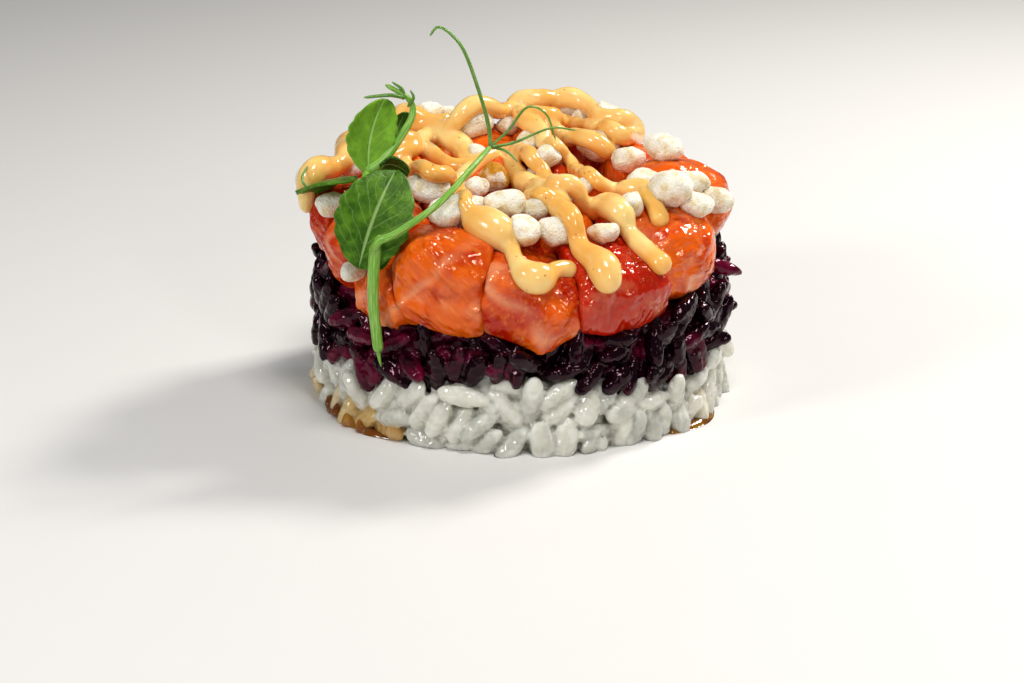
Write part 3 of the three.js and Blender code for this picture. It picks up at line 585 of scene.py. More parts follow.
def new_material(name):
    """A material, its tree and its surface shader."""
    material = bpy.data.materials.new(name)
    material.use_nodes = True
    tree = material.node_tree
    return material, tree, tree.nodes["Principled BSDF"]


def place_of(tree):
    """The place on an object, in metres."""
    return add(tree, "ShaderNodeTexCoord").outputs["Object"]


def named(tree, label, output="Fac"):
    """A named attribute of the mesh."""
    return add(tree, "ShaderNodeAttribute", attribute_name=label).outputs[output]


def bumped(tree, surface, height, distance, strength=1.0):
    """Gives a surface small relief from a height between 0 and 1 over a distance in metres."""
    inputs = {"Height": height, "Distance": distance, "Strength": strength}
    normal = add(tree, "ShaderNodeBump", inputs).outputs["Normal"]
    tree.links.new(normal, surface.inputs["Normal"])


def set_surface(surface, **values):
    """Sets constants on the shader's own sockets; an underscore stands for a space."""
    for key, value in values.items():
        surface.inputs[key.replace("_", " ")].default_value = value


def white_rice_finish(settings, sauces):
    """Moist cooked grains: milky, glossy, a little warmer or cooler from one to the next, with painted
    shade in the creases between them.
    """
    material, tree, surface = new_material("white_rice")
    place = place_of(tree)
    tint = named(tree, "tint")
    warm = blended(tree, ramp(tree, tint, 0.0, 1.0), linear("#bebeb3"), linear("#dbd8cb"))
    cloudy = ramp(tree, noisy(tree, place, 330.0, 2.0), 0.42, 0.68)
    milky = blended(tree, maths(tree, "MULTIPLY", cloudy, 0.8), warm, settings.white)
    # Painted shade: where the surface lies below its neighbours, in the creases between grains, it is
    # darkened towards grey brown.
    sunk = flipped(tree, ramp(tree, named(tree, "raised"), -0.16, 0.0))
    shaded = blended(tree, maths(tree, "MULTIPLY", sunk, 0.5), milky, linear("#8d8674"))
    uneven = maths(tree, "MULTIPLY_ADD", tint, 0.9, 0.35)
    soaked = maths(tree, "MULTIPLY", named(tree, "soy"), uneven)
    damp = blended(tree, ramp(tree, soaked, 0.0, 0.4), shaded, linear("#d6b878"))
    stained = blended(tree, ramp(tree, soaked, 0.3, 0.95), damp, sauces.stain)
    tree.links.new(stained, surface.inputs["Base Color"])
    fine = noisy(tree, place, 800.0, 0.8)
    bumped(tree, surface, fine, 0.0006, 1.0)
    tree.links.new(maths(tree, "MULTIPLY_ADD", fine, 0.12, 0.03), surface.inputs["Roughness"])
    set_surface(surface, Subsurface_Weight=1.0, Subsurface_Radius=(0.0016, 0.0016, 0.0014),
                Subsurface_Scale=1.0, IOR=1.45, Specular_IOR_Level=0.9)
    return material


def black_rice_finish(settings):
    """Moist black grains: purple black, crimson here and there, with a wet shine."""
    material, tree, surface = new_material("black_rice")
    place = place_of(tree)
    tint = named(tree, "tint")
    patch = maths(tree, "ADD", maths(tree, "MULTIPLY", tint, 0.7), noisy(tree, place, 260.0, 3.0))
    thin = ramp(tree, patch, 0.86, 1.36)
    tree.links.new(blended(tree, thin, settings.black, settings.crimson), surface.inputs["Base Color"])
    ridges = noisy(tree, place, 760.0, 0.6, 0.5)
    bumped(tree, surface, ridges, 0.0004, 1.0)
    tree.links.new(maths(tree, "MULTIPLY_ADD", ridges, 0.16, 0.05), surface.inputs["Roughness"])
    set_surface(surface, Subsurface_Weight=0.1, Subsurface_Radius=(0.0012, 0.0003, 0.0004),
                Subsurface_Scale=1.0, IOR=1.4, Specular_IOR_Level=0.42,
                Specular_Tint=(1.0, 0.6, 0.7, 1.0))
    return material


def band_distance(tree, flesh, band):
    """How far a place is from the nearest line of fat, from 0 on the line to 0.5 between two."""
    warp = noisy(tree, flesh, 95.0, 1.0, 0.4)
    across = add(tree, "ShaderNodeSeparateXYZ", {0: flesh}).outputs["X"]
    count = maths(tree, "ADD", maths(tree, "DIVIDE", across, band),
                  maths(tree, "MULTIPLY", warp, 1.6))
    return maths(tree, "PINGPONG", count, 0.5)


def salmon_finish(settings):
    """Raw salmon: orange flesh in soft bands with pale fat between, fine fibres and a wet membrane in
    pale patches, partly painted sheen; each dice's tone is partly painted light and shade.
    """
    material, tree, surface = new_material("salmon")
    flesh = named(tree, "flesh", "Vector")
    line = band_distance(tree, flesh, settings.band)
    # Partly painted light and shade: each dice's tone pulls its flesh towards deep red or lit orange
    # and sets how strongly the pale fibres show.
    tone = named(tree, "tone")
    patchy = maths(tree, "ADD", noisy(tree, flesh, 230.0, 3.0),
                   maths(tree, "MULTIPLY", maths(tree, "SUBTRACT", tone, 0.55), 0.5))
    body = blended(tree, ramp(tree, patchy, 0.34, 0.7), settings.deep, settings.flesh)
    stretched = vectors(tree, "MULTIPLY", flesh, (0.16, 1.0, 1.0))
    fibres = noisy(tree, stretched, 1500.0, 2.0, 0.5)
    lit = maths(tree, "MULTIPLY_ADD", tone, 0.34, 0.1)
    streaked = blended(tree, maths(tree, "MULTIPLY", ramp(tree, fibres, 0.5, 0.72), lit), body,
                       linear("#ff9638"))
    strength = ramp(tree, noisy(tree, flesh, 95.0, 2.0), 0.42, 0.66)
    soft = flipped(tree, ramp(tree, line, 0.0, 0.2))
    fat = maths(tree, "MULTIPLY", maths(tree, "MULTIPLY", soft, strength), 0.5)
    # Pale wet membrane in patches: partly the flesh's own, partly a painted soft sheen.
    film_and_sheen = maths(tree, "MULTIPLY", ramp(tree, noisy(tree, flesh, 130.0, 4.0, 0.6), 0.56, 0.76), 0.26)
    pale = maths(tree, "MAXIMUM", fat, film_and_sheen)
    tree.links.new(blended(tree, pale, streaked, settings.fat), surface.inputs["Base Color"])
    swell = noisy(tree, vectors(tree, "MULTIPLY", flesh, (0.55, 1.0, 1.0)), 520.0, 0.8, 0.5)
    crinkle = maths(tree, "PINGPONG", maths(tree, "MULTIPLY", swell, 2.4), 1.0)
    wrinkled = ramp(tree, noisy(tree, flesh, 170.0, 1.0), 0.36, 0.6)
    relief = maths(tree, "ADD", maths(tree, "MULTIPLY", fibres, 0.2), maths(
        tree, "MULTIPLY", crinkle, maths(tree, "MULTIPLY_ADD", wrinkled, 1.0, 0.4)))
    bumped(tree, surface, relief, 0.0005, 1.0)
    tree.links.new(maths(tree, "MULTIPLY_ADD", crinkle, 0.06, 0.06), surface.inputs["Roughness"])
    set_surface(surface, Subsurface_Weight=0.6, Subsurface_Radius=(0.0026, 0.0009, 0.0003),
                Subsurface_Scale=0.8, IOR=1.42, Specular_IOR_Level=0.9,
                Specular_Tint=(1.0, 0.66, 0.5, 1.0))
    return material


def crisp_finish(settings):
    """Puffed rice: dry, cream white, with fine grey pores and warmer beige patches from noise, partly
    painted shade.
    """
    material, tree, surface = new_material("crisps")
    place = place_of(tree)
    cells = add(tree, "ShaderNodeTexVoronoi", {"Vector": place, "Scale": 2400.0}).outputs["Distance"]
    froth = ramp(tree, cells, 0.0, 0.7)
    # Warmer beige patches from noise: partly the puffed rice's own colour, partly painted shade.
    beige_and_shade = ramp(tree, noisy(tree, place, 520.0, 4.0, 0.6), 0.34, 0.56)
    warm = blended(tree, beige_and_shade, linear("#e6d4a8"), settings.crisp)
    shown = maths(tree, "MULTIPLY", flipped(tree, ramp(tree, cells, 0.05, 0.35)), 0.13)
    pored = blended(tree, shown, warm, linear("#a1947c"))
    toasted = blended(tree, maths(tree, "MULTIPLY", named(tree, "soy"), ramp(
        tree, noisy(tree, place, 300.0, 2.0), 0.4, 0.55)), pored, linear("#c98a1c"))
    tree.links.new(toasted, surface.inputs["Base Color"])
    rough = noisy(tree, place, 1500.0, 5.0, 0.7)
    height = maths(tree, "SUBTRACT", rough, maths(tree, "MULTIPLY", froth, 0.5))
    bumped(tree, surface, height, 0.00028, 0.9)
    set_surface(surface, Roughness=0.55, Subsurface_Weight=0.45, Subsurface_Scale=1.0,
                Subsurface_Radius=(0.0016, 0.0014, 0.0011), IOR=1.35, Specular_IOR_Level=0.3)
    return material


def sauce_finish(settings):
    """Creamy sauce: smooth, peach orange with broad patches of painted shade in deeper orange, glossy,
    with a few fine specks.
    """
    material, tree, surface = new_material("sauce")
    place = place_of(tree)
    # Painted shade: slow noise mixes a deeper orange into the sauce in broad patches.
    slow = ramp(tree, noisy(tree, place, 120.0, 2.0), 0.35, 0.7)
    cream = blended(tree, slow, linear("#efb356"), settings.sauce)
    specks = ramp(tree, noisy(tree, place, 900.0, 1.0), 0.735, 0.765)
    dotted = blended(tree, maths(tree, "MULTIPLY", specks, 0.6), cream, linear("#a8561e"))
    tree.links.new(dotted, surface.inputs["Base Color"])
    bumped(tree, surface, noisy(tree, place, 330.0, 2.0), 0.00025, 0.5)
    set_surface(surface, Roughness=0.2, Subsurface_Weight=0.6, Subsurface_Scale=1.0, IOR=1.45,
                Subsurface_Radius=(0.0024, 0.0014, 0.0006), Coat_Weight=0.35, Coat_Roughness=0.06)
    return material


def soy_finish(settings):
    """Thin soy sauce: clear amber brown and very glossy."""
    material, tree, surface = new_material("soy")
    cloud = ramp(tree, noisy(tree, place_of(tree), 300.0, 2.0), 0.35, 0.7)
    tree.links.new(blended(tree, cloud, settings.soy, linear("#e5a634")), surface.inputs["Base Color"])
    set_surface(surface, Roughness=0.06, IOR=1.36, Transmission_Weight=0.7, Subsurface_Weight=0.5,
                Subsurface_Scale=1.0, Subsurface_Radius=(0.002, 0.001, 0.0003), Coat_Weight=0.4,
                Coat_Roughness=0.04)
    return material


def leaf_finish(settings):
    """A pea leaf: mottled green, a pale midrib and side veins that leave it, and a tone that is partly
    painted light and shade.
    """
    material, tree, surface = new_material("pea_leaf")
    place = place_of(tree)
    chart = add(tree, "ShaderNodeSeparateXYZ",
                {0: add(tree, "ShaderNodeUVMap", uv_map="leaf").outputs["UV"]})
    aside = maths(tree, "ABSOLUTE", maths(tree, "SUBTRACT", chart.outputs["X"], 0.5))
    rib = flipped(tree, ramp(tree, aside, 0.008, 0.035))
    wander = maths(tree, "MULTIPLY", noisy(tree, place, 300.0, 2.0), 0.9)
    count = maths(tree, "ADD", maths(tree, "MULTIPLY_ADD", chart.outputs["Y"], 7.0, wander),
                  maths(tree, "MULTIPLY", aside, -6.0))
    side = flipped(tree, ramp(tree, maths(tree, "PINGPONG", count, 0.5), 0.0, 0.1))
    veins = maths(tree, "MAXIMUM", rib, maths(tree, "MULTIPLY", side, 0.3))
    mottle = ramp(tree, noisy(tree, place, 420.0, 5.0, 0.62), 0.34, 0.7)
    # Each leaf's tone lightens or darkens its green: partly its own colour, partly painted shade and
    # painted light.
    share = maths(tree, "ADD", maths(tree, "MULTIPLY", mottle, 0.3), maths(tree, "MULTIPLY", named(
        tree, "tone"), 0.5))
    green = blended(tree, share, settings.leaf, settings.leaf_light)
    tree.links.new(blended(tree, maths(tree, "MULTIPLY", veins, 0.55), green, linear("#b4d487")),
                   surface.inputs["Base Color"])
    height = maths(tree, "SUBTRACT", mottle, veins)
    bumped(tree, surface, height, 0.00016, 0.7)
    set_surface(surface, Roughness=0.42, Subsurface_Weight=0.35, Subsurface_Scale=1.0, IOR=1.42,
                Subsurface_Radius=(0.0006, 0.0012, 0.0003), Specular_IOR_Level=0.4,
                Specular_Tint=(0.8, 1.0, 0.4, 1.0))
    return material


def stem_finish(name, colour_value, pale):
    """A pea stem or tendril: green with pale stripes along it, partly its own ribs and partly painted
    highlight lines.
    """
    material, tree, surface = new_material(name)
    strand = named(tree, "strand", "Vector")
    # Pale stripes along the stem: partly its own lighter ribs, partly painted highlight lines.
    streaks_and_sheen = ramp(tree, noisy(tree, vectors(tree, "MULTIPLY", strand, (1.0, 1.0, 0.06)), 5.0, 3.0),
                   0.4, 0.68)
    tree.links.new(blended(tree, maths(tree, "MULTIPLY", streaks_and_sheen, 0.7), colour_value, linear(pale)),
                   surface.inputs["Base Color"])
    bumped(tree, surface, streaks_and_sheen, 0.00008, 0.6)
    set_surface(surface, Roughness=0.34, Subsurface_Weight=0.4, Subsurface_Scale=1.0, IOR=1.42,
                Subsurface_Radius=(0.0008, 0.0014, 0.0004), Coat_Weight=0.2, Coat_Roughness=0.2)
    return material


def floor_finish(settings):
    """A plain matt floor with the faintest grain."""
    material, tree, surface = new_material("floor")
    grain = noisy(tree, place_of(tree), 60.0, 3.0)
    shade = blended(tree, maths(tree, "MULTIPLY", grain, 0.06), settings.floor, linear("#cfcdc8"))
    tree.links.new(shade, surface.inputs["Base Color"])
    set_surface(surface, Roughness=0.55)
    return material


# ---- Rice --------------------------------------------------------------------------------------------

SPOTS = np.array([-1.0, -1 / 3, 1 / 3, 1.0])     # places along a grain that push its neighbours


def settle(across, height, angle, reach, radius, ceiling, round_length, rounds):
    """Grains lying on the unrolled side push each other apart until they only just touch."""
    count = len(across)
    owner = np.repeat(np.arange(count), len(SPOTS))
    need = radius[owner][:, None] + radius[owner][None, :]
    need[owner[:, None] == owner[None, :]] = 0
    lever = SPOTS[None, :] * reach[:, None]
    for _ in range(rounds):
        x = (across[:, None] + lever * np.cos(angle)[:, None]).ravel()
        y = (height[:, None] + lever * np.sin(angle)[:, None]).ravel()
        right = x[:, None] - x[None, :]
        right -= round_length * np.round(right / round_length)
        up = y[:, None] - y[None, :]
        apart = np.hypot(right, up) + 1e-6
        push = np.clip(need - apart, 0, None) / apart * 0.5
        move_x = (push * right).sum(1).reshape(count, -1)
        move_y = (push * up).sum(1).reshape(count, -1)
        across += move_x.mean(1)
        height += move_y.mean(1)
        aside = move_y * np.cos(angle)[:, None] - move_x * np.sin(angle)[:, None]
        angle += (aside * lever).sum(1) / (lever ** 2).sum(1)
        rise = np.abs(np.sin(angle)) * reach * 0.8 + 0.5
        np.clip(height, rise, ceiling, out=height)


def rice_grains(settings, radius, seed):
    """One layer of grains round the side: (bearing, height, angle, is white) for each."""
    draw = np.random.default_rng(seed)
    count = settings.grains
    round_length = 2 * math.pi * radius
    across = draw.random(count) * round_length
    height = draw.random(count) * RICE_CEILING
    angle = np.where(draw.random(count) < LEANING_SHARE, draw.normal(*LEAN, count),
                     draw.random(count) * math.pi)
    width = (settings.white_width + settings.black_width) / 2 / MM
    reach = np.full(count, (settings.grain_length / MM - width) / 2)
    free = np.full(count, width / 2 * settings.closeness)
    settle(across, height, angle, reach, free, RICE_CEILING, round_length, settings.rounds)
    edges = LAYER_EDGE + LAYER_WAVE * np.cos(LAYER_WAVES * across / radius)
    rise = np.abs(np.sin(angle)) * settings.grain_length / MM * 0.42 + width * 0.25
    white = height + rise * 0.4 < edges
    height = np.where(white, np.minimum(height, edges + WHITE_STRAY - rise),
                      np.maximum(height, edges - BLACK_STRAY + rise))
    return np.degrees(across / radius), np.maximum(height, 1.0), angle, white


def grain_turn(bearing, angle, lean, roll):
    """The turn of a grain whose length lies on the side of the cake, as Euler angles."""
    outward = around(bearing, 1, 0)
    tangent = Vector((0, 0, 1)).cross(outward)
    along = tangent * math.cos(angle) + Vector((0, 0, 1)) * math.sin(angle)
    side = outward.cross(along)
    turn = Matrix((along, side, outward)).transposed().to_4x4()
    turn = turn @ Matrix.Rotation(lean, 4, "Y") @ Matrix.Rotation(roll, 4, "X")
    return turn.to_euler()


def grain_mesh(name, sides, rings, blunt, bend):
    """A grain of half length 1 and half width 1, longest along x: blunt at both ends, a little bent."""
    corners = []
    for row in range(rings + 1):
        for k in range(sides if 0 < row < rings else 1):
            polar, turn = math.pi * row / rings, 2 * math.pi * k / sides
            x, y = math.cos(polar), math.sin(polar) * math.cos(turn)
            z = math.sin(polar) * math.sin(turn)
            corners.append((math.copysign(abs(x) ** blunt, x), y * (1 - 0.08 * x),
                            z * (1 - 0.12 * x) + bend * x * x))
    faces = []
    last = len(corners) - 1
    for k in range(sides):
        beside = (k + 1) % sides
        faces.append((0, 1 + k, 1 + beside))
        for start in range(1, last - sides, sides):
            faces.append((start + k, start + sides + k, start + sides + beside, start + beside))
        faces.append((last - sides + k, last, last - sides + beside))
    mesh = bpy.data.meshes.new(name)
    mesh.from_pydata(corners, [], faces)
    return mesh


def copied_pieces(tree, given):
    """Nodes that set an uneven copy of a piece on every point: (geometry, each copy's own number)."""
    turn, girth = held(tree, "turn", "FLOAT_VECTOR"), held(tree, "girth", "FLOAT_VECTOR")
    rotation = add(tree, "FunctionNodeEulerToRotation", {0: turn}).outputs[0]
    piece = add(tree, "GeometryNodeObjectInfo", {"Object": given["Piece"]}).outputs["Geometry"]
    copies = add(tree, "GeometryNodeInstanceOnPoints", {
        "Points": given["Geometry"], "Instance": piece, "Rotation": rotation, "Scale": girth})
    real = add(tree, "GeometryNodeRealizeInstances", {"Geometry": copies.outputs[0]}).outputs[0]
    own = maths(tree, "MULTIPLY", held(tree, "tint"), 40.0)
    swing = noisy(tree, position(tree), given["Wobble Rate"], 1.0, 0.5, "Color", W=own)
    centred = vectors(tree, "SUBTRACT", swing, (0.5, 0.5, 0.5))
    return moved(tree, real, Offset=scaled(tree, centred, given["Wobble"])), own


def pushed(tree, geometry, height):
    """Moves a surface along its normals by a height."""
    normal = add(tree, "GeometryNodeInputNormal").outputs[0]
    return moved(tree, geometry, Offset=scaled(tree, normal, height))


def stood_up(tree, geometry, given):
    """Keeps a surface off the floor, smooths its shading and gives it its finish."""
    parts = add(tree, "ShaderNodeSeparateXYZ", {0: position(tree)}).outputs
    height = maths(tree, "MAXIMUM", parts["Z"], given["Floor"])
    standing = add(tree, "ShaderNodeCombineXYZ", {0: parts["X"], 1: parts["Y"], 2: height})
    level = moved(tree, geometry, Position=standing.outputs[0])
    return coated(tree, level, given["Finish"])


def scattering_tree():
    """Uneven, pitted copies of a piece on every point."""
    tree, given, leave = new_tree("Scattered Pieces", {
        "Piece": "Object", "Wobble": "Float", "Wobble Rate": "Float", "Pits": "Float",
        "Pit Rate": "Float", "Floor": "Float", "Finish": "Material"})
    uneven, own = copied_pieces(tree, given)
    pits = noisy(tree, position(tree), given["Pit Rate"], 3.0, 0.6, "Fac", W=own)
    depth = maths(tree, "MULTIPLY", maths(tree, "SUBTRACT", pits, 0.5), given["Pits"])
    tree.links.new(stood_up(tree, pushed(tree, uneven, depth), given), leave.inputs[0])
    return tree


def skinned(tree, cloud, voxel):
    """A volume as a mesh with faces of a size."""
    return add(tree, "GeometryNodeVolumeToMesh", {
        "Volume": cloud, "Voxel Size": voxel, "Threshold": 0.1},
        resolution_mode="VOXEL_SIZE").outputs[0]


def packing_tree():
    """Uneven grains pressed together with a core into one moist body that keeps each grain's tint."""
    tree, given, leave = new_tree("Packed Grains", {
        "Piece": "Object", "Core": "Object", "Wobble": "Float", "Wobble Rate": "Float",
        "Voxel": "Float",
        "Ridges": "Float", "Ridge Rate": "Float", "Parting": "Float", "Floor": "Float",
        "Finish": "Material"})
    grains, _ = copied_pieces(tree, given)
    core = add(tree, "GeometryNodeObjectInfo", {"Object": given["Core"]}).outputs["Geometry"]
    whole = add(tree, "GeometryNodeJoinGeometry")
    tree.links.new(grains, whole.inputs[0])
    tree.links.new(core, whole.inputs[0])
    cloud = add(tree, "GeometryNodeMeshToVolume", {
        "Mesh": whole.outputs[0], "Voxel Size": given["Voxel"],
        "Interior Band Width": maths(tree, "MULTIPLY", given["Voxel"], 3.0)},
        resolution_mode="VOXEL_SIZE").outputs[0]
    place = position(tree)
    skin = moved(tree, skinned(tree, cloud, given["Voxel"]), Position=eased(tree, place, 1))
    for label in ("tint", "soy"):
        nearest = add(tree, "GeometryNodeSampleNearestSurface", {
            "Mesh": grains, "Value": held(tree, label), "Sample Position": place},
            data_type="FLOAT").outputs[0]
        skin = stored(tree, skin, label, nearest)
    # How far each point stands above its blurred neighbours, kept as raised; the white rice's finish
    # uses it to paint shade in the creases.
    proud = vectors(tree, "SUBTRACT", place, eased(tree, place, 5))
    normal = add(tree, "GeometryNodeInputNormal").outputs[0]
    raised = add(tree, "ShaderNodeVectorMath", {0: proud, 1: normal}, operation="DOT_PRODUCT")
    skin = stored(tree, skin, "raised", maths(tree, "DIVIDE", raised.outputs["Value"], MM))
    parted = moved(tree, skin, Offset=scaled(tree, proud, given["Parting"]))
    ridges = maths(tree, "SUBTRACT", noisy(tree, place, given["Ridge Rate"], 2.0, 0.55), 0.5)
    ridged = pushed(tree, parted, maths(tree, "MULTIPLY", ridges, given["Ridges"]))
    tree.links.new(stood_up(tree, ridged, given), leave.inputs[0])
    return tree


def scattered(name, rows, piece_mesh, tree, values, core=None):
    """Copies of one mesh on points. Each row is place, turn, girth, tint and stain."""
    parts = {"Piece": bpy.data.objects.new(f"{name}_piece", piece_mesh)}
    if core:
        parts["Core"] = bpy.data.objects.new(f"{name}_heart", core)
    mesh = points_mesh(name, [row[0] for row in rows], {
        "turn": [tuple(row[1]) for row in rows], "girth": [tuple(row[2]) for row in rows],
        "tint": [row[3] for row in rows], "soy": [row[4] for row in rows]})
    made = grown(name, mesh, tree, {**parts, **values})
    for part in parts.values():
        bpy.data.objects.remove(part)
    return made


def capped(piece, radius):
    """Takes away what lies hidden near the axis, above and below, and closes both holes flat."""
    work = bmesh.new()
    work.from_mesh(piece.data)
    hidden = [vertex for vertex in work.verts if vertex.co.xy.length < radius * MM]
    bmesh.ops.delete(work, geom=hidden, context="VERTS")
    rims = [edge for edge in work.edges if edge.is_boundary]
    lids = bmesh.ops.holes_fill(work, edges=rims, sides=0)["faces"]
    bmesh.ops.triangulate(work, faces=lids)
    work.to_mesh(piece.data)
    work.free()


def rice_core(name, radius, bottom, top, seed, segments=180, rows=14):
    """Packed rice behind the grains that show: a disc with bumps of their size on its side."""
    corners, faces = [], []
    for row in range(rows + 1):
        for k in range(segments):
            bearing = 360 * k / segments
            place = around(bearing, radius, 0)
            low, high = bottom(bearing, place.y), top(bearing, place.y)
            height = low + (high - low) * row / rows
            bump = noise.noise(Vector((place.x, place.y, height + seed)) * 0.55)
            corners.append(around(bearing, radius + CORE_BUMPS * bump, height) * MM)
    for row in range(rows):
        for k in range(segments):
            here, there = row * segments + k, row * segments + (k + 1) % segments
            faces.append((here, there, there + segments, here + segments))
    for row, order in ((0, -1), (rows, 1)):
        middle = len(corners)
        level = (bottom if row == 0 else top)
        height = sum(level(b, 0.0) for b in range(0, 360, 5)) / 72
        corners.append(Vector((0, 0, height)) * MM)
        for k in range(segments):
            one, two = row * segments + k, row * segments + (k + 1) % segments
            faces.append((middle, one, two)[::order])
    mesh = bpy.data.meshes.new(name)
    mesh.from_pydata([tuple(corner) for corner in corners], [], faces)
    return mesh


def soy_stain(bearing, height):
    """How much soy has soaked into a grain at a place on the side, from 0 to 1."""
    wetness = 0.0
    for middle, reach, top in SOY_STAINS:
        off = abs((bearing - middle + 180) % 360 - 180)
        wetness = max(wetness, (1 - off / reach) * (1 - height / top) if off < reach else 0.0)
    return min(STAIN_LIMIT, STAIN_STRENGTH * max(0.0, wetness))


def rice_rows(settings, grains, radius, seed, bed, white_wanted):
    """The grains of one colour in one layer, without those that the salmon hides."""
    draw = random.Random(seed)
    rows = []
    for bearing, height, angle, white in zip(*grains):
        proud = draw.uniform(-0.7, 0.5)
        lean, roll = draw.gauss(0, 0.3), draw.uniform(-math.pi, math.pi)
        size, thick = draw.uniform(0.78, 1.12), draw.uniform(0.74, 0.98)
        tint = draw.random()
        if white != white_wanted:
            continue
        outward = around(bearing, 1, 0)
        turn = grain_turn(bearing, angle, lean, 0)
        tips = turn.to_matrix() @ Vector((settings.grain_length * 0.38, 0, 0))
        centre = around(bearing, radius + proud, height) * MM
        depths = []
        for place in (centre, centre + tips, centre - tips):
            hit = bed.ray_cast(place + outward * 15 * MM, -outward, 30 * MM)[0]
            depths.append(hit.xy.length / MM if hit else 0.0)
        if depths[0] > radius - SALMON_COVERS or min(depths[1:]) > 0:
            continue
        if max(depths) > radius - SALMON_PRESSES:
            centre -= outward * PRESSED_IN * MM
        width = settings.white_width if white else settings.black_width
        girth = Vector((settings.grain_length * size, width * draw.uniform(0.82, 1.12),
                        width * thick)) / 2
        stain = soy_stain(bearing, height) * draw.uniform(0.5, 1.0) if white else 0.0
        turn = grain_turn(bearing, angle, lean, 0.5 * math.sin(roll))
        rows.append((centre, turn, girth, tint, stain))
    return rows


class SUSHI_OT_rice(bpy.types.Operator):
    """Lay the white rice and the black rice"""

    bl_idname = "sushi.rice"
    bl_label = "Lay Rice"

    def execute(self, context):
        settings = context.scene.sushi_rice
        bed = salmon_bed()

        def edge(bearing, _back):
            return layer_edge(bearing)

        def table(_bearing, _back):
            return 0.0

        def crown(_bearing, back):
            return BLACK_TOP + BLACK_TOP_SLOPE * back

        kinds = [
            ("white_rice", True, table, edge, WHITE_DISTANCES,
             {"Voxel": settings.white_voxel, "Ridges": 0.15 * MM, "Ridge Rate": 500.0, "Parting": 1.1,
              "Finish": white_rice_finish(settings, context.scene.sushi_topping)}),
            ("black_rice", False, edge, crown, BLACK_DISTANCES,
             {"Voxel": settings.black_voxel, "Ridges": 0.5 * MM, "Ridge Rate": 700.0, "Parting": 1.0,
              "Finish": black_rice_finish(settings)}),
        ]
        tree = packing_tree()
        layers = [rice_grains(settings, SIDE_RADIUS, settings.seed + layer) for layer in range(2)]
        for node, white, low, high, distances, values in kinds:
            rows = []
            for layer, (grains, radius) in enumerate(zip(layers, distances)):
                rows += rice_rows(settings, grains, radius, settings.seed + layer, bed, white)
            core = rice_core(f"{node}_core", CORE_RADIUS, low, high, settings.seed)
            grain = grain_mesh(f"{node}_grain", 10, 8, 0.84, 0.12)
            layer = scattered(f"{node}_layer", rows, grain, tree, {
                "Wobble": settings.wobble, "Wobble Rate": 220.0, "Floor": 0.0, **values}, core)
            capped(layer, HIDDEN_RADIUS)
            finished(layer, [node])
        return {"FINISHED"}


# ---- Salmon ------------------------------------------------------------------------------------------


def welded_copy(node):
    """The mesh of a CAD solid as one closed surface of its own."""
    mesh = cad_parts[node].data.copy()
    mesh.materials.clear()
    work = bmesh.new()
    work.from_mesh(mesh)
    bmesh.ops.remove_doubles(work, verts=work.verts, dist=0.002 * MM)
    work.to_mesh(mesh)
    work.free()
    return mesh


def flesh_tree():
    """Turns a smooth block into salmon: uneven cuts, slow lumps, and grooves where fat parts it."""
    tree, given, leave = new_tree("Salmon Flesh", {
        "Centre": "Vector", "Turn": "Vector", "Tone": "Float", "Swell": "Float", "Warp": "Float",
        "Lumps": "Float", "Band": "Float", "Groove": "Float", "Floor": "Float", "Finish": "Material"})
    place = position(tree)
    away = vectors(tree, "SUBTRACT", place, given["Centre"])
    flesh = add(tree, "ShaderNodeVectorRotate", {"Vector": away, "Rotation": given["Turn"]},
                rotation_type="EULER_XYZ").outputs[0]
    own = vectors(tree, "ADD", flesh, given["Centre"])
    kept = stored(tree, given["Geometry"], "flesh", own, "FLOAT_VECTOR")
    # The tone, partly the flesh's own colour and partly painted light and shade, is kept for the
    # finish.
    kept = stored(tree, kept, "tone", given["Tone"])
    sway = vectors(tree, "SUBTRACT", noisy(tree, place, 85.0, 1.5, 0.5, "Color"), (0.5, 0.5, 0.5))
    warped = moved(tree, kept, Offset=scaled(tree, sway, given["Warp"]))
    grain = held(tree, "flesh", "FLOAT_VECTOR")
    slow = maths(tree, "SUBTRACT", noisy(tree, grain, 150.0, 2.0, 0.5), 0.5)
    lumps = maths(tree, "MULTIPLY", slow, maths(tree, "MULTIPLY", given["Lumps"], 2.0))
    line = band_distance(tree, grain, given["Band"])
    near = flipped(tree, ramp(tree, line, 0.0, 0.09))
    groove = maths(tree, "MULTIPLY", near, given["Groove"])
    fine = noisy(tree, vectors(tree, "MULTIPLY", grain, (0.4, 1.0, 1.0)), 620.0, 3.0)
    small = maths(tree, "MULTIPLY", maths(tree, "SUBTRACT", fine, 0.5), 0.5 * MM)
    depth = maths(tree, "ADD", maths(tree, "SUBTRACT", lumps, groove), small)
    carved = pushed(tree, warped, maths(tree, "ADD", depth, given["Swell"]))
    tree.links.new(stood_up(tree, carved, given), leave.inputs[0])
    return tree


def hung(dice, middle, reach, drop, out):
    """Draws the lower front edge of a dice down into a soft tip, in millimetres."""
    low = min(vertex.co.z for vertex in dice.data.vertices)
    front = min(vertex.co.y for vertex in dice.data.vertices)
    for vertex in dice.data.vertices:
        x, y, z = vertex.co
        aside = math.exp(-((x / MM - middle) / reach) ** 2)
        lower = max(0.0, 1 - (z - low) / (TIP_HEIGHT * MM))
        near = max(0.0, 1 - (y - front) / (TIP_DEPTH * MM))
        share = aside * lower ** 1.3 * near ** 0.7
        vertex.co.z = z - drop * share * MM
        vertex.co.y = y - out * share * MM
    dice.data.update()


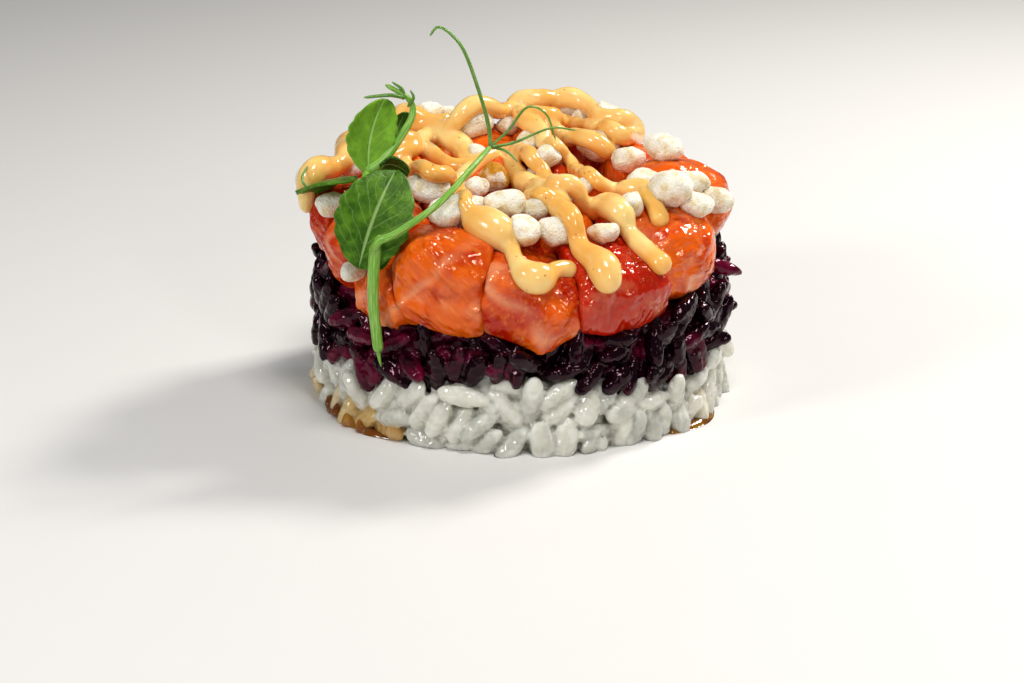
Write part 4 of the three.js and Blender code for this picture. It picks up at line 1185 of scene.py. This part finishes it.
class SUSHI_OT_salmon(bpy.types.Operator):
    """Cut the dice of raw salmon"""

    bl_idname = "sushi.salmon"
    bl_label = "Dice Salmon"

    def execute(self, context):
        settings = context.scene.sushi_salmon
        draw = random.Random(settings.seed)
        tree = flesh_tree()
        finish = salmon_finish(settings)

        def soften(block):
            remesh = block.modifiers.new("Remesh", "REMESH")
            remesh.mode = "VOXEL"
            remesh.voxel_size = settings.voxel
            smooth = block.modifiers.new("Smooth", "SMOOTH")
            smooth.iterations = 6
            smooth.factor = 0.5

        for node in DICE:
            low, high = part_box(node)
            own = [draw.uniform(-30, 30), draw.uniform(-30, 30), draw.uniform(0, 360)], draw.random()
            degrees, tone = DICE_FLESH.get(node, own)
            dice = grown(f"{node}_flesh", welded_copy(node), tree, {
                "Centre": (low + high) / 2, "Turn": Vector(math.radians(part) for part in degrees),
                "Tone": tone, "Swell": settings.swell, "Warp": settings.warp,
                "Lumps": settings.lumps, "Band": settings.band, "Groove": settings.groove,
                "Floor": 0.0, "Finish": finish}, soften)
            if node in HANGING_TIPS:
                hung(dice, *HANGING_TIPS[node])
            finished(dice, [node])
        return {"FINISHED"}


# ---- Puffed rice and sauce ---------------------------------------------------------------------------


def crisp_row(settings, place, turn, scale, draw):
    """One puffed grain, as a row for scattering."""
    angles = Euler((math.radians(draw.uniform(-25, 25)), math.radians(draw.uniform(-20, 20)),
                    math.radians(turn)))
    girth = Vector((settings.crisp_length, settings.crisp_width, settings.crisp_depth)) * scale / 2
    return [place * MM, angles, girth, draw.random(), 0.0]


class SUSHI_OT_crisps(bpy.types.Operator):
    """Scatter the puffed rice"""

    bl_idname = "sushi.crisps"
    bl_label = "Scatter Puffed Rice"

    def execute(self, context):
        settings = context.scene.sushi_topping
        draw = random.Random(settings.seed)
        bed = salmon_bed()
        half = settings.crisp_depth / MM / 2
        heap, free = [], []
        for rows, places, growth in ((heap, HEAP_CRISPS, HEAP_GROWTH),
                                     (free, FREE_CRISPS, FREE_GROWTH)):
            for across, down, size, turn in places:
                scale = size * growth * SPAN / (settings.crisp_length / MM)
                place = seen(bed, across, down, half * scale * CRISP_LIFT)
                rows.append(crisp_row(settings, place, turn, scale, draw))
        heap[TOASTED_CRISP][4] = 1.0
        tree, finish = scattering_tree(), crisp_finish(settings)
        for name, rows, nodes in (("heap_crisps", heap, ["crisps_and_sauce"]),
                                  ("free_crisps", free, FREE_CRISP_NODES)):
            puff = grain_mesh(f"{name}_puff", 40, 30, 0.96, 0.1)
            crisps = scattered(name, rows, puff, tree, {
                "Wobble": 2.2 * MM, "Wobble Rate": 260.0, "Pits": 0.4 * MM, "Pit Rate": 900.0,
                "Floor": 0.0, "Finish": finish})
            finished(crisps, nodes)
        return {"FINISHED"}


def flowing_tree():
    """Turns points with a half thickness into one smooth body of sauce."""
    tree, given, leave = new_tree("Flowing Sauce", {
        "Voxel": "Float", "Smoothing": "Int", "Floor": "Float", "Finish": "Material"})
    beads = add(tree, "GeometryNodeMeshToPoints", {
        "Mesh": given["Geometry"], "Radius": held(tree, "half")}).outputs[0]
    radius = add(tree, "GeometryNodeInputRadius").outputs[0]
    cloud = add(tree, "GeometryNodePointsToVolume", {
        "Points": beads, "Voxel Size": given["Voxel"], "Radius": radius},
        resolution_mode="VOXEL_SIZE").outputs[0]
    even = moved(tree, skinned(tree, cloud, given["Voxel"]),
                 Position=eased(tree, position(tree), given["Smoothing"]))
    tree.links.new(stood_up(tree, even, given), leave.inputs[0])
    return tree


def flowing(name, points, halves, values):
    """A piece of sauce from points in millimetres and half thicknesses."""
    tree = bpy.data.node_groups.get("Flowing Sauce") or flowing_tree()
    mesh = points_mesh(name, [Vector(point) * MM for point in points],
                       {"half": [half * MM for half in halves]})
    return grown(name, mesh, tree, values)


def stroke_beads(places, bed):
    """The beads of one stroke. It clings to what carries it and bridges the hollows between."""
    knots = []
    for across, down, half in places:
        half = half * SPAN * SAUCE_GROWTH
        place = seen(bed, across, down, half * CLING)
        knots.append((*place, half))
    track = catmull_by_length(knots, BEAD_STEP)
    for _ in range(CLING_ROUNDS):
        for row in track:
            here = Vector(row[:3]) * MM
            spot, normal, _, _ = bed.find_nearest(here)
            off = (here - spot).dot(normal) / MM
            kept = min(max(off, row[3] * CLING), row[3] * CLING + BRIDGE)
            row[:3] = (spot + normal * kept * MM) / MM
        for _ in range(EASING_ROUNDS):
            track[1:-1, :3] = (track[:-2, :3] + 2 * track[1:-1, :3] + track[2:, :3]) / 4
    return [(row[:3], row[3]) for row in track]


class SUSHI_OT_sauce(bpy.types.Operator):
    """Drizzle the creamy sauce"""

    bl_idname = "sushi.sauce"
    bl_label = "Drizzle Sauce"

    def execute(self, context):
        settings = context.scene.sushi_topping
        names = [f"{name}_flesh" for name in DICE] + ["heap_crisps", "free_crisps"]
        bed = tree_of_faces(bpy.data.objects[name].data for name in names)
        beads = [bead for places in SAUCE_STROKES for bead in stroke_beads(places, bed)]
        sauce = flowing("creamy_sauce", [point for point, _ in beads], [half for _, half in beads], {
            "Voxel": settings.sauce_voxel, "Smoothing": 6, "Floor": 0.0,
            "Finish": sauce_finish(settings)})
        finished(sauce, ["crisps_and_sauce"])
        return {"FINISHED"}


class SUSHI_OT_soy(bpy.types.Operator):
    """Let thin soy sauce run out under the rice"""

    bl_idname = "sushi.soy"
    bl_label = "Run Soy Sauce"

    def execute(self, context):
        settings = context.scene.sushi_topping
        lines = [[(*around(bearing, distance, height), half)
                  for bearing, distance, height, half in line] for line in SOY_LINES]
        beads = [row for line in lines for row in catmull_by_length(line, 0.3)]
        soy = flowing("soy_line", [row[:3] for row in beads], [row[3] for row in beads], {
            "Voxel": 0.22 * MM, "Smoothing": 3, "Floor": 0.02 * MM, "Finish": soy_finish(settings)})
        finished(soy)
        return {"FINISHED"}


# ---- Pea shoot ---------------------------------------------------------------------------------------


def bezier(base, bend, tip, share):
    """A place on the bent midrib and the way it runs there."""
    place = (1 - share) ** 2 * base + 2 * share * (1 - share) * bend + share ** 2 * tip
    return place, (2 * (1 - share) * (bend - base) + 2 * share * (tip - bend)).normalized()


def leaf_surface(leaf, across_cells=20, along_cells=30):
    """Rows of places on one leaf, each with its normal and its place on the leaf's chart."""
    base, bend, tip = (Vector(leaf[key]) for key in ("base", "bend", "tip"))
    side = Vector(leaf["across"]).normalized()
    rows = []
    for j in range(along_cells + 1):
        share = j / along_cells
        middle, tangent = bezier(base, bend, tip, share)
        normal = side.cross(tangent).normalized()
        width = LEAF_NECK + leaf["half"] * math.sin(math.pi * share) ** LEAF_FULLNESS
        teeth = leaf["teeth"] * (abs(math.sin(LEAF_TEETH_RATE * share)) - 0.5)
        width += teeth * math.sin(math.pi * share)
        row = []
        for i in range(across_cells + 1):
            u = 2 * i / across_cells - 1
            lift = (leaf["cup"] * u * u * width + leaf["wave"] * u * math.sin(LEAF_WAVE_RATE * share)
                    - 0.12 * math.exp(-(u / 0.12) ** 2)
                    + 0.10 * math.sin(11 * share - 5 * abs(u)) * abs(u))
            row.append((middle + side * (u * width) + normal * lift, normal, (u / 2 + 0.5, share)))
        rows.append(row)
    return rows


def leaf_into(work, charts, tones, leaf, thickness):
    """Adds one leaf to a mesh: two faces alike and a closed edge."""
    rows = leaf_surface(leaf)
    faces_by_side = []
    for offset in (-thickness / 2, thickness / 2):
        grid = [[work.verts.new((place + normal * offset) * MM) for place, normal, _ in row]
                for row in rows]
        faces_by_side.append(grid)
    chart_of = {}
    for grid in faces_by_side:
        for row, source in zip(grid, rows):
            for vertex, (_, _, chart) in zip(row, source):
                chart_of[vertex] = chart
                vertex[tones] = leaf["tone"]
    lower, upper = faces_by_side
    last_row, last_column = len(rows) - 1, len(rows[0]) - 1
    made = []
    for j in range(last_row):
        for i in range(last_column):
            made.append((lower[j][i], lower[j + 1][i], lower[j + 1][i + 1], lower[j][i + 1]))
            made.append((upper[j][i], upper[j][i + 1], upper[j + 1][i + 1], upper[j + 1][i]))
    for j in range(last_row):
        for i, flip in ((0, False), (last_column, True)):
            wall = [lower[j][i], upper[j][i], upper[j + 1][i], lower[j + 1][i]]
            made.append(wall[::-1] if flip else wall)
    for i in range(last_column):
        for j, flip in ((0, True), (last_row, False)):
            wall = [lower[j][i], upper[j][i], upper[j][i + 1], lower[j][i + 1]]
            made.append(wall[::-1] if flip else wall)
    for corners in made:
        face = work.faces.new(corners)
        face.smooth = True
        for loop in face.loops:
            loop[charts].uv = chart_of[loop.vert]


def sweeping_tree():
    """Turns lines with a half thickness into round stems."""
    tree, given, leave = new_tree("Swept Stems", {"Sides": "Int", "Finish": "Material"})
    line = add(tree, "GeometryNodeMeshToCurve", {"Mesh": given["Geometry"]}).outputs[0]
    along = add(tree, "GeometryNodeSplineParameter").outputs["Length"]
    marked = add(tree, "GeometryNodeCaptureAttribute", {"Geometry": line}, domain="POINT")
    marked.capture_items.new("FLOAT", "along")
    tree.links.new(along, marked.inputs["along"])
    ring = add(tree, "GeometryNodeCurvePrimitiveCircle", {
        "Resolution": given["Sides"], "Radius": 1.0}).outputs[0]
    stem = add(tree, "GeometryNodeCurveToMesh", {
        "Curve": marked.outputs["Geometry"], "Profile Curve": ring, "Scale": held(tree, "half"),
        "Fill Caps": True}).outputs[0]
    normal = add(tree, "GeometryNodeInputNormal").outputs[0]
    far = maths(tree, "MULTIPLY", marked.outputs["along"], 1 / MM)
    strand = vectors(tree, "ADD", normal, add(tree, "ShaderNodeCombineXYZ", {2: far}).outputs[0])
    kept = stored(tree, stem, "strand", strand, "FLOAT_VECTOR")
    tree.links.new(coated(tree, kept, given["Finish"]), leave.inputs[0])
    return tree


def swept(name, lines, finish, sides):
    """Round stems along smooth lines, rounded off at their ends."""
    tree = bpy.data.node_groups.get("Swept Stems") or sweeping_tree()
    points, halves, edges = [], [], []
    for places, (first, last) in lines:
        rows = [(*place, first + (last - first) * i / (len(places) - 1))
                for i, place in enumerate(places)]
        track = catmull_by_length(rows, 0.35)
        start = len(points)
        for i, (x, y, z, half) in enumerate(track):
            end = min(i, len(track) - 1 - i)
            points.append(Vector((x, y, z)) * MM)
            halves.append(half * MM * (0.45, 0.85, 1.0)[min(end, 2)])
        edges += [(k, k + 1) for k in range(start, len(points) - 1)]
    return grown(name, points_mesh(name, points, {"half": halves}, edges), tree,
                 {"Sides": sides, "Finish": finish})


class SUSHI_OT_shoot(bpy.types.Operator):
    """Grow the pea shoot"""

    bl_idname = "sushi.shoot"
    bl_label = "Grow Pea Shoot"

    def execute(self, context):
        settings = context.scene.sushi_shoot
        work = bmesh.new()
        charts = work.loops.layers.uv.new("leaf")
        # Each leaf's tone, which is partly painted light and shade, is kept on its points.
        tones = work.verts.layers.float.new("tone")
        for leaf in LEAVES:
            leaf_into(work, charts, tones, leaf, settings.leaf_thickness / MM)
        bmesh.ops.recalc_face_normals(work, faces=work.faces)
        mesh = bpy.data.meshes.new("pea_leaves")
        work.to_mesh(mesh)
        work.free()
        mesh.materials.append(leaf_finish(settings))
        finished(placed("pea_leaves", mesh), ["pea_shoot"])
        # Each stem's pale colour is that of its stripes, which are partly painted highlight lines.
        for name, lines, tone, pale, sides in (
                ("pea_stem", STEMS, settings.stem, "#b4d674", 14),
                ("pea_tendril", TENDRILS, settings.tendril, "#9cc46a", 8)):
            stems = swept(f"{name}s", lines, stem_finish(name, tone, pale), sides)
            finished(stems, ["pea_shoot"])
        return {"FINISHED"}


# ---- Stage -------------------------------------------------------------------------------------------


def area_light(name, place, size, power, tint):
    """A square soft light in millimetres, turned to the cake."""
    data = bpy.data.lights.new(name, "AREA")
    data.size = size * MM
    data.energy = power
    data.color = tint
    lamp = bpy.data.objects.new(name, data)
    lamp.location = Vector(place) * MM
    lamp.rotation_euler = (Vector(LIT_PLACE) - Vector(place)).to_track_quat("-Z", "Y").to_euler()
    bpy.context.scene.collection.objects.link(lamp)


class SUSHI_OT_stage(bpy.types.Operator):
    """Set the floor, the lights and the camera"""

    bl_idname = "sushi.stage"
    bl_label = "Set Stage"

    def execute(self, context):
        settings = context.scene.sushi_stage
        work = bmesh.new()
        bmesh.ops.create_grid(work, x_segments=2, y_segments=2, size=4.0)
        mesh = bpy.data.meshes.new("floor")
        work.to_mesh(mesh)
        work.free()
        mesh.materials.append(floor_finish(settings))
        placed("floor", mesh)
        for name, (place, size, tint) in LIGHTS.items():
            area_light(f"{name}_light", place, size, getattr(settings, name), tint)
        world = bpy.data.worlds.new("studio")
        world.use_nodes = True
        sky = world.node_tree.nodes["Background"].inputs
        sky["Color"].default_value = SKY_TINT
        sky["Strength"].default_value = settings.sky
        context.scene.world = world
        context.scene.view_settings.view_transform = "Standard"
        data = bpy.data.cameras.new("camera")
        data.lens = settings.lens
        data.sensor_width = SENSOR
        data.clip_start = 0.01
        camera = bpy.data.objects.new("camera", data)
        camera.location = Vector(CAMERA_PLACE) * MM
        camera.rotation_euler = (math.radians(90 - CAMERA_PITCH), 0.0, 0.0)
        context.scene.collection.objects.link(camera)
        context.scene.camera = camera
        return {"FINISHED"}


# ---- Panel and registration --------------------------------------------------------------------------

OPERATORS = [SUSHI_OT_stage, SUSHI_OT_salmon, SUSHI_OT_rice, SUSHI_OT_crisps, SUSHI_OT_sauce,
             SUSHI_OT_soy, SUSHI_OT_shoot]
GROUPS = {"sushi_rice": RiceSettings, "sushi_salmon": SalmonSettings,
          "sushi_topping": ToppingSettings, "sushi_shoot": ShootSettings, "sushi_stage": StageSettings}


class SUSHI_PT_build(bpy.types.Panel):
    """Buttons and settings for the pressed sushi"""

    bl_idname = "SUSHI_PT_build"
    bl_label = "Pressed Sushi"
    bl_space_type = "VIEW_3D"
    bl_region_type = "UI"
    bl_category = "Sushi"

    def draw(self, context):
        for operator in OPERATORS:
            self.layout.operator(operator.bl_idname)
        for group in GROUPS:
            box = self.layout.box()
            settings = getattr(context.scene, group)
            for label in settings.__annotations__:
                box.prop(settings, label)


def register():
    for group in GROUPS.values():
        bpy.utils.register_class(group)
    for operator in OPERATORS:
        bpy.utils.register_class(operator)
    bpy.utils.register_class(SUSHI_PT_build)
    for name, group in GROUPS.items():
        setattr(bpy.types.Scene, name, PointerProperty(type=group))


def unregister():
    for name in GROUPS:
        delattr(bpy.types.Scene, name)
    bpy.utils.unregister_class(SUSHI_PT_build)
    for operator in reversed(OPERATORS):
        bpy.utils.unregister_class(operator)
    for group in reversed(list(GROUPS.values())):
        bpy.utils.unregister_class(group)


def main():
    register()
    bpy.ops.sushi.stage()
    bpy.ops.sushi.salmon()
    bpy.ops.sushi.rice()
    bpy.ops.sushi.crisps()
    bpy.ops.sushi.sauce()
    bpy.ops.sushi.soy()
    bpy.ops.sushi.shoot()


if __name__ == "__main__":
    main()
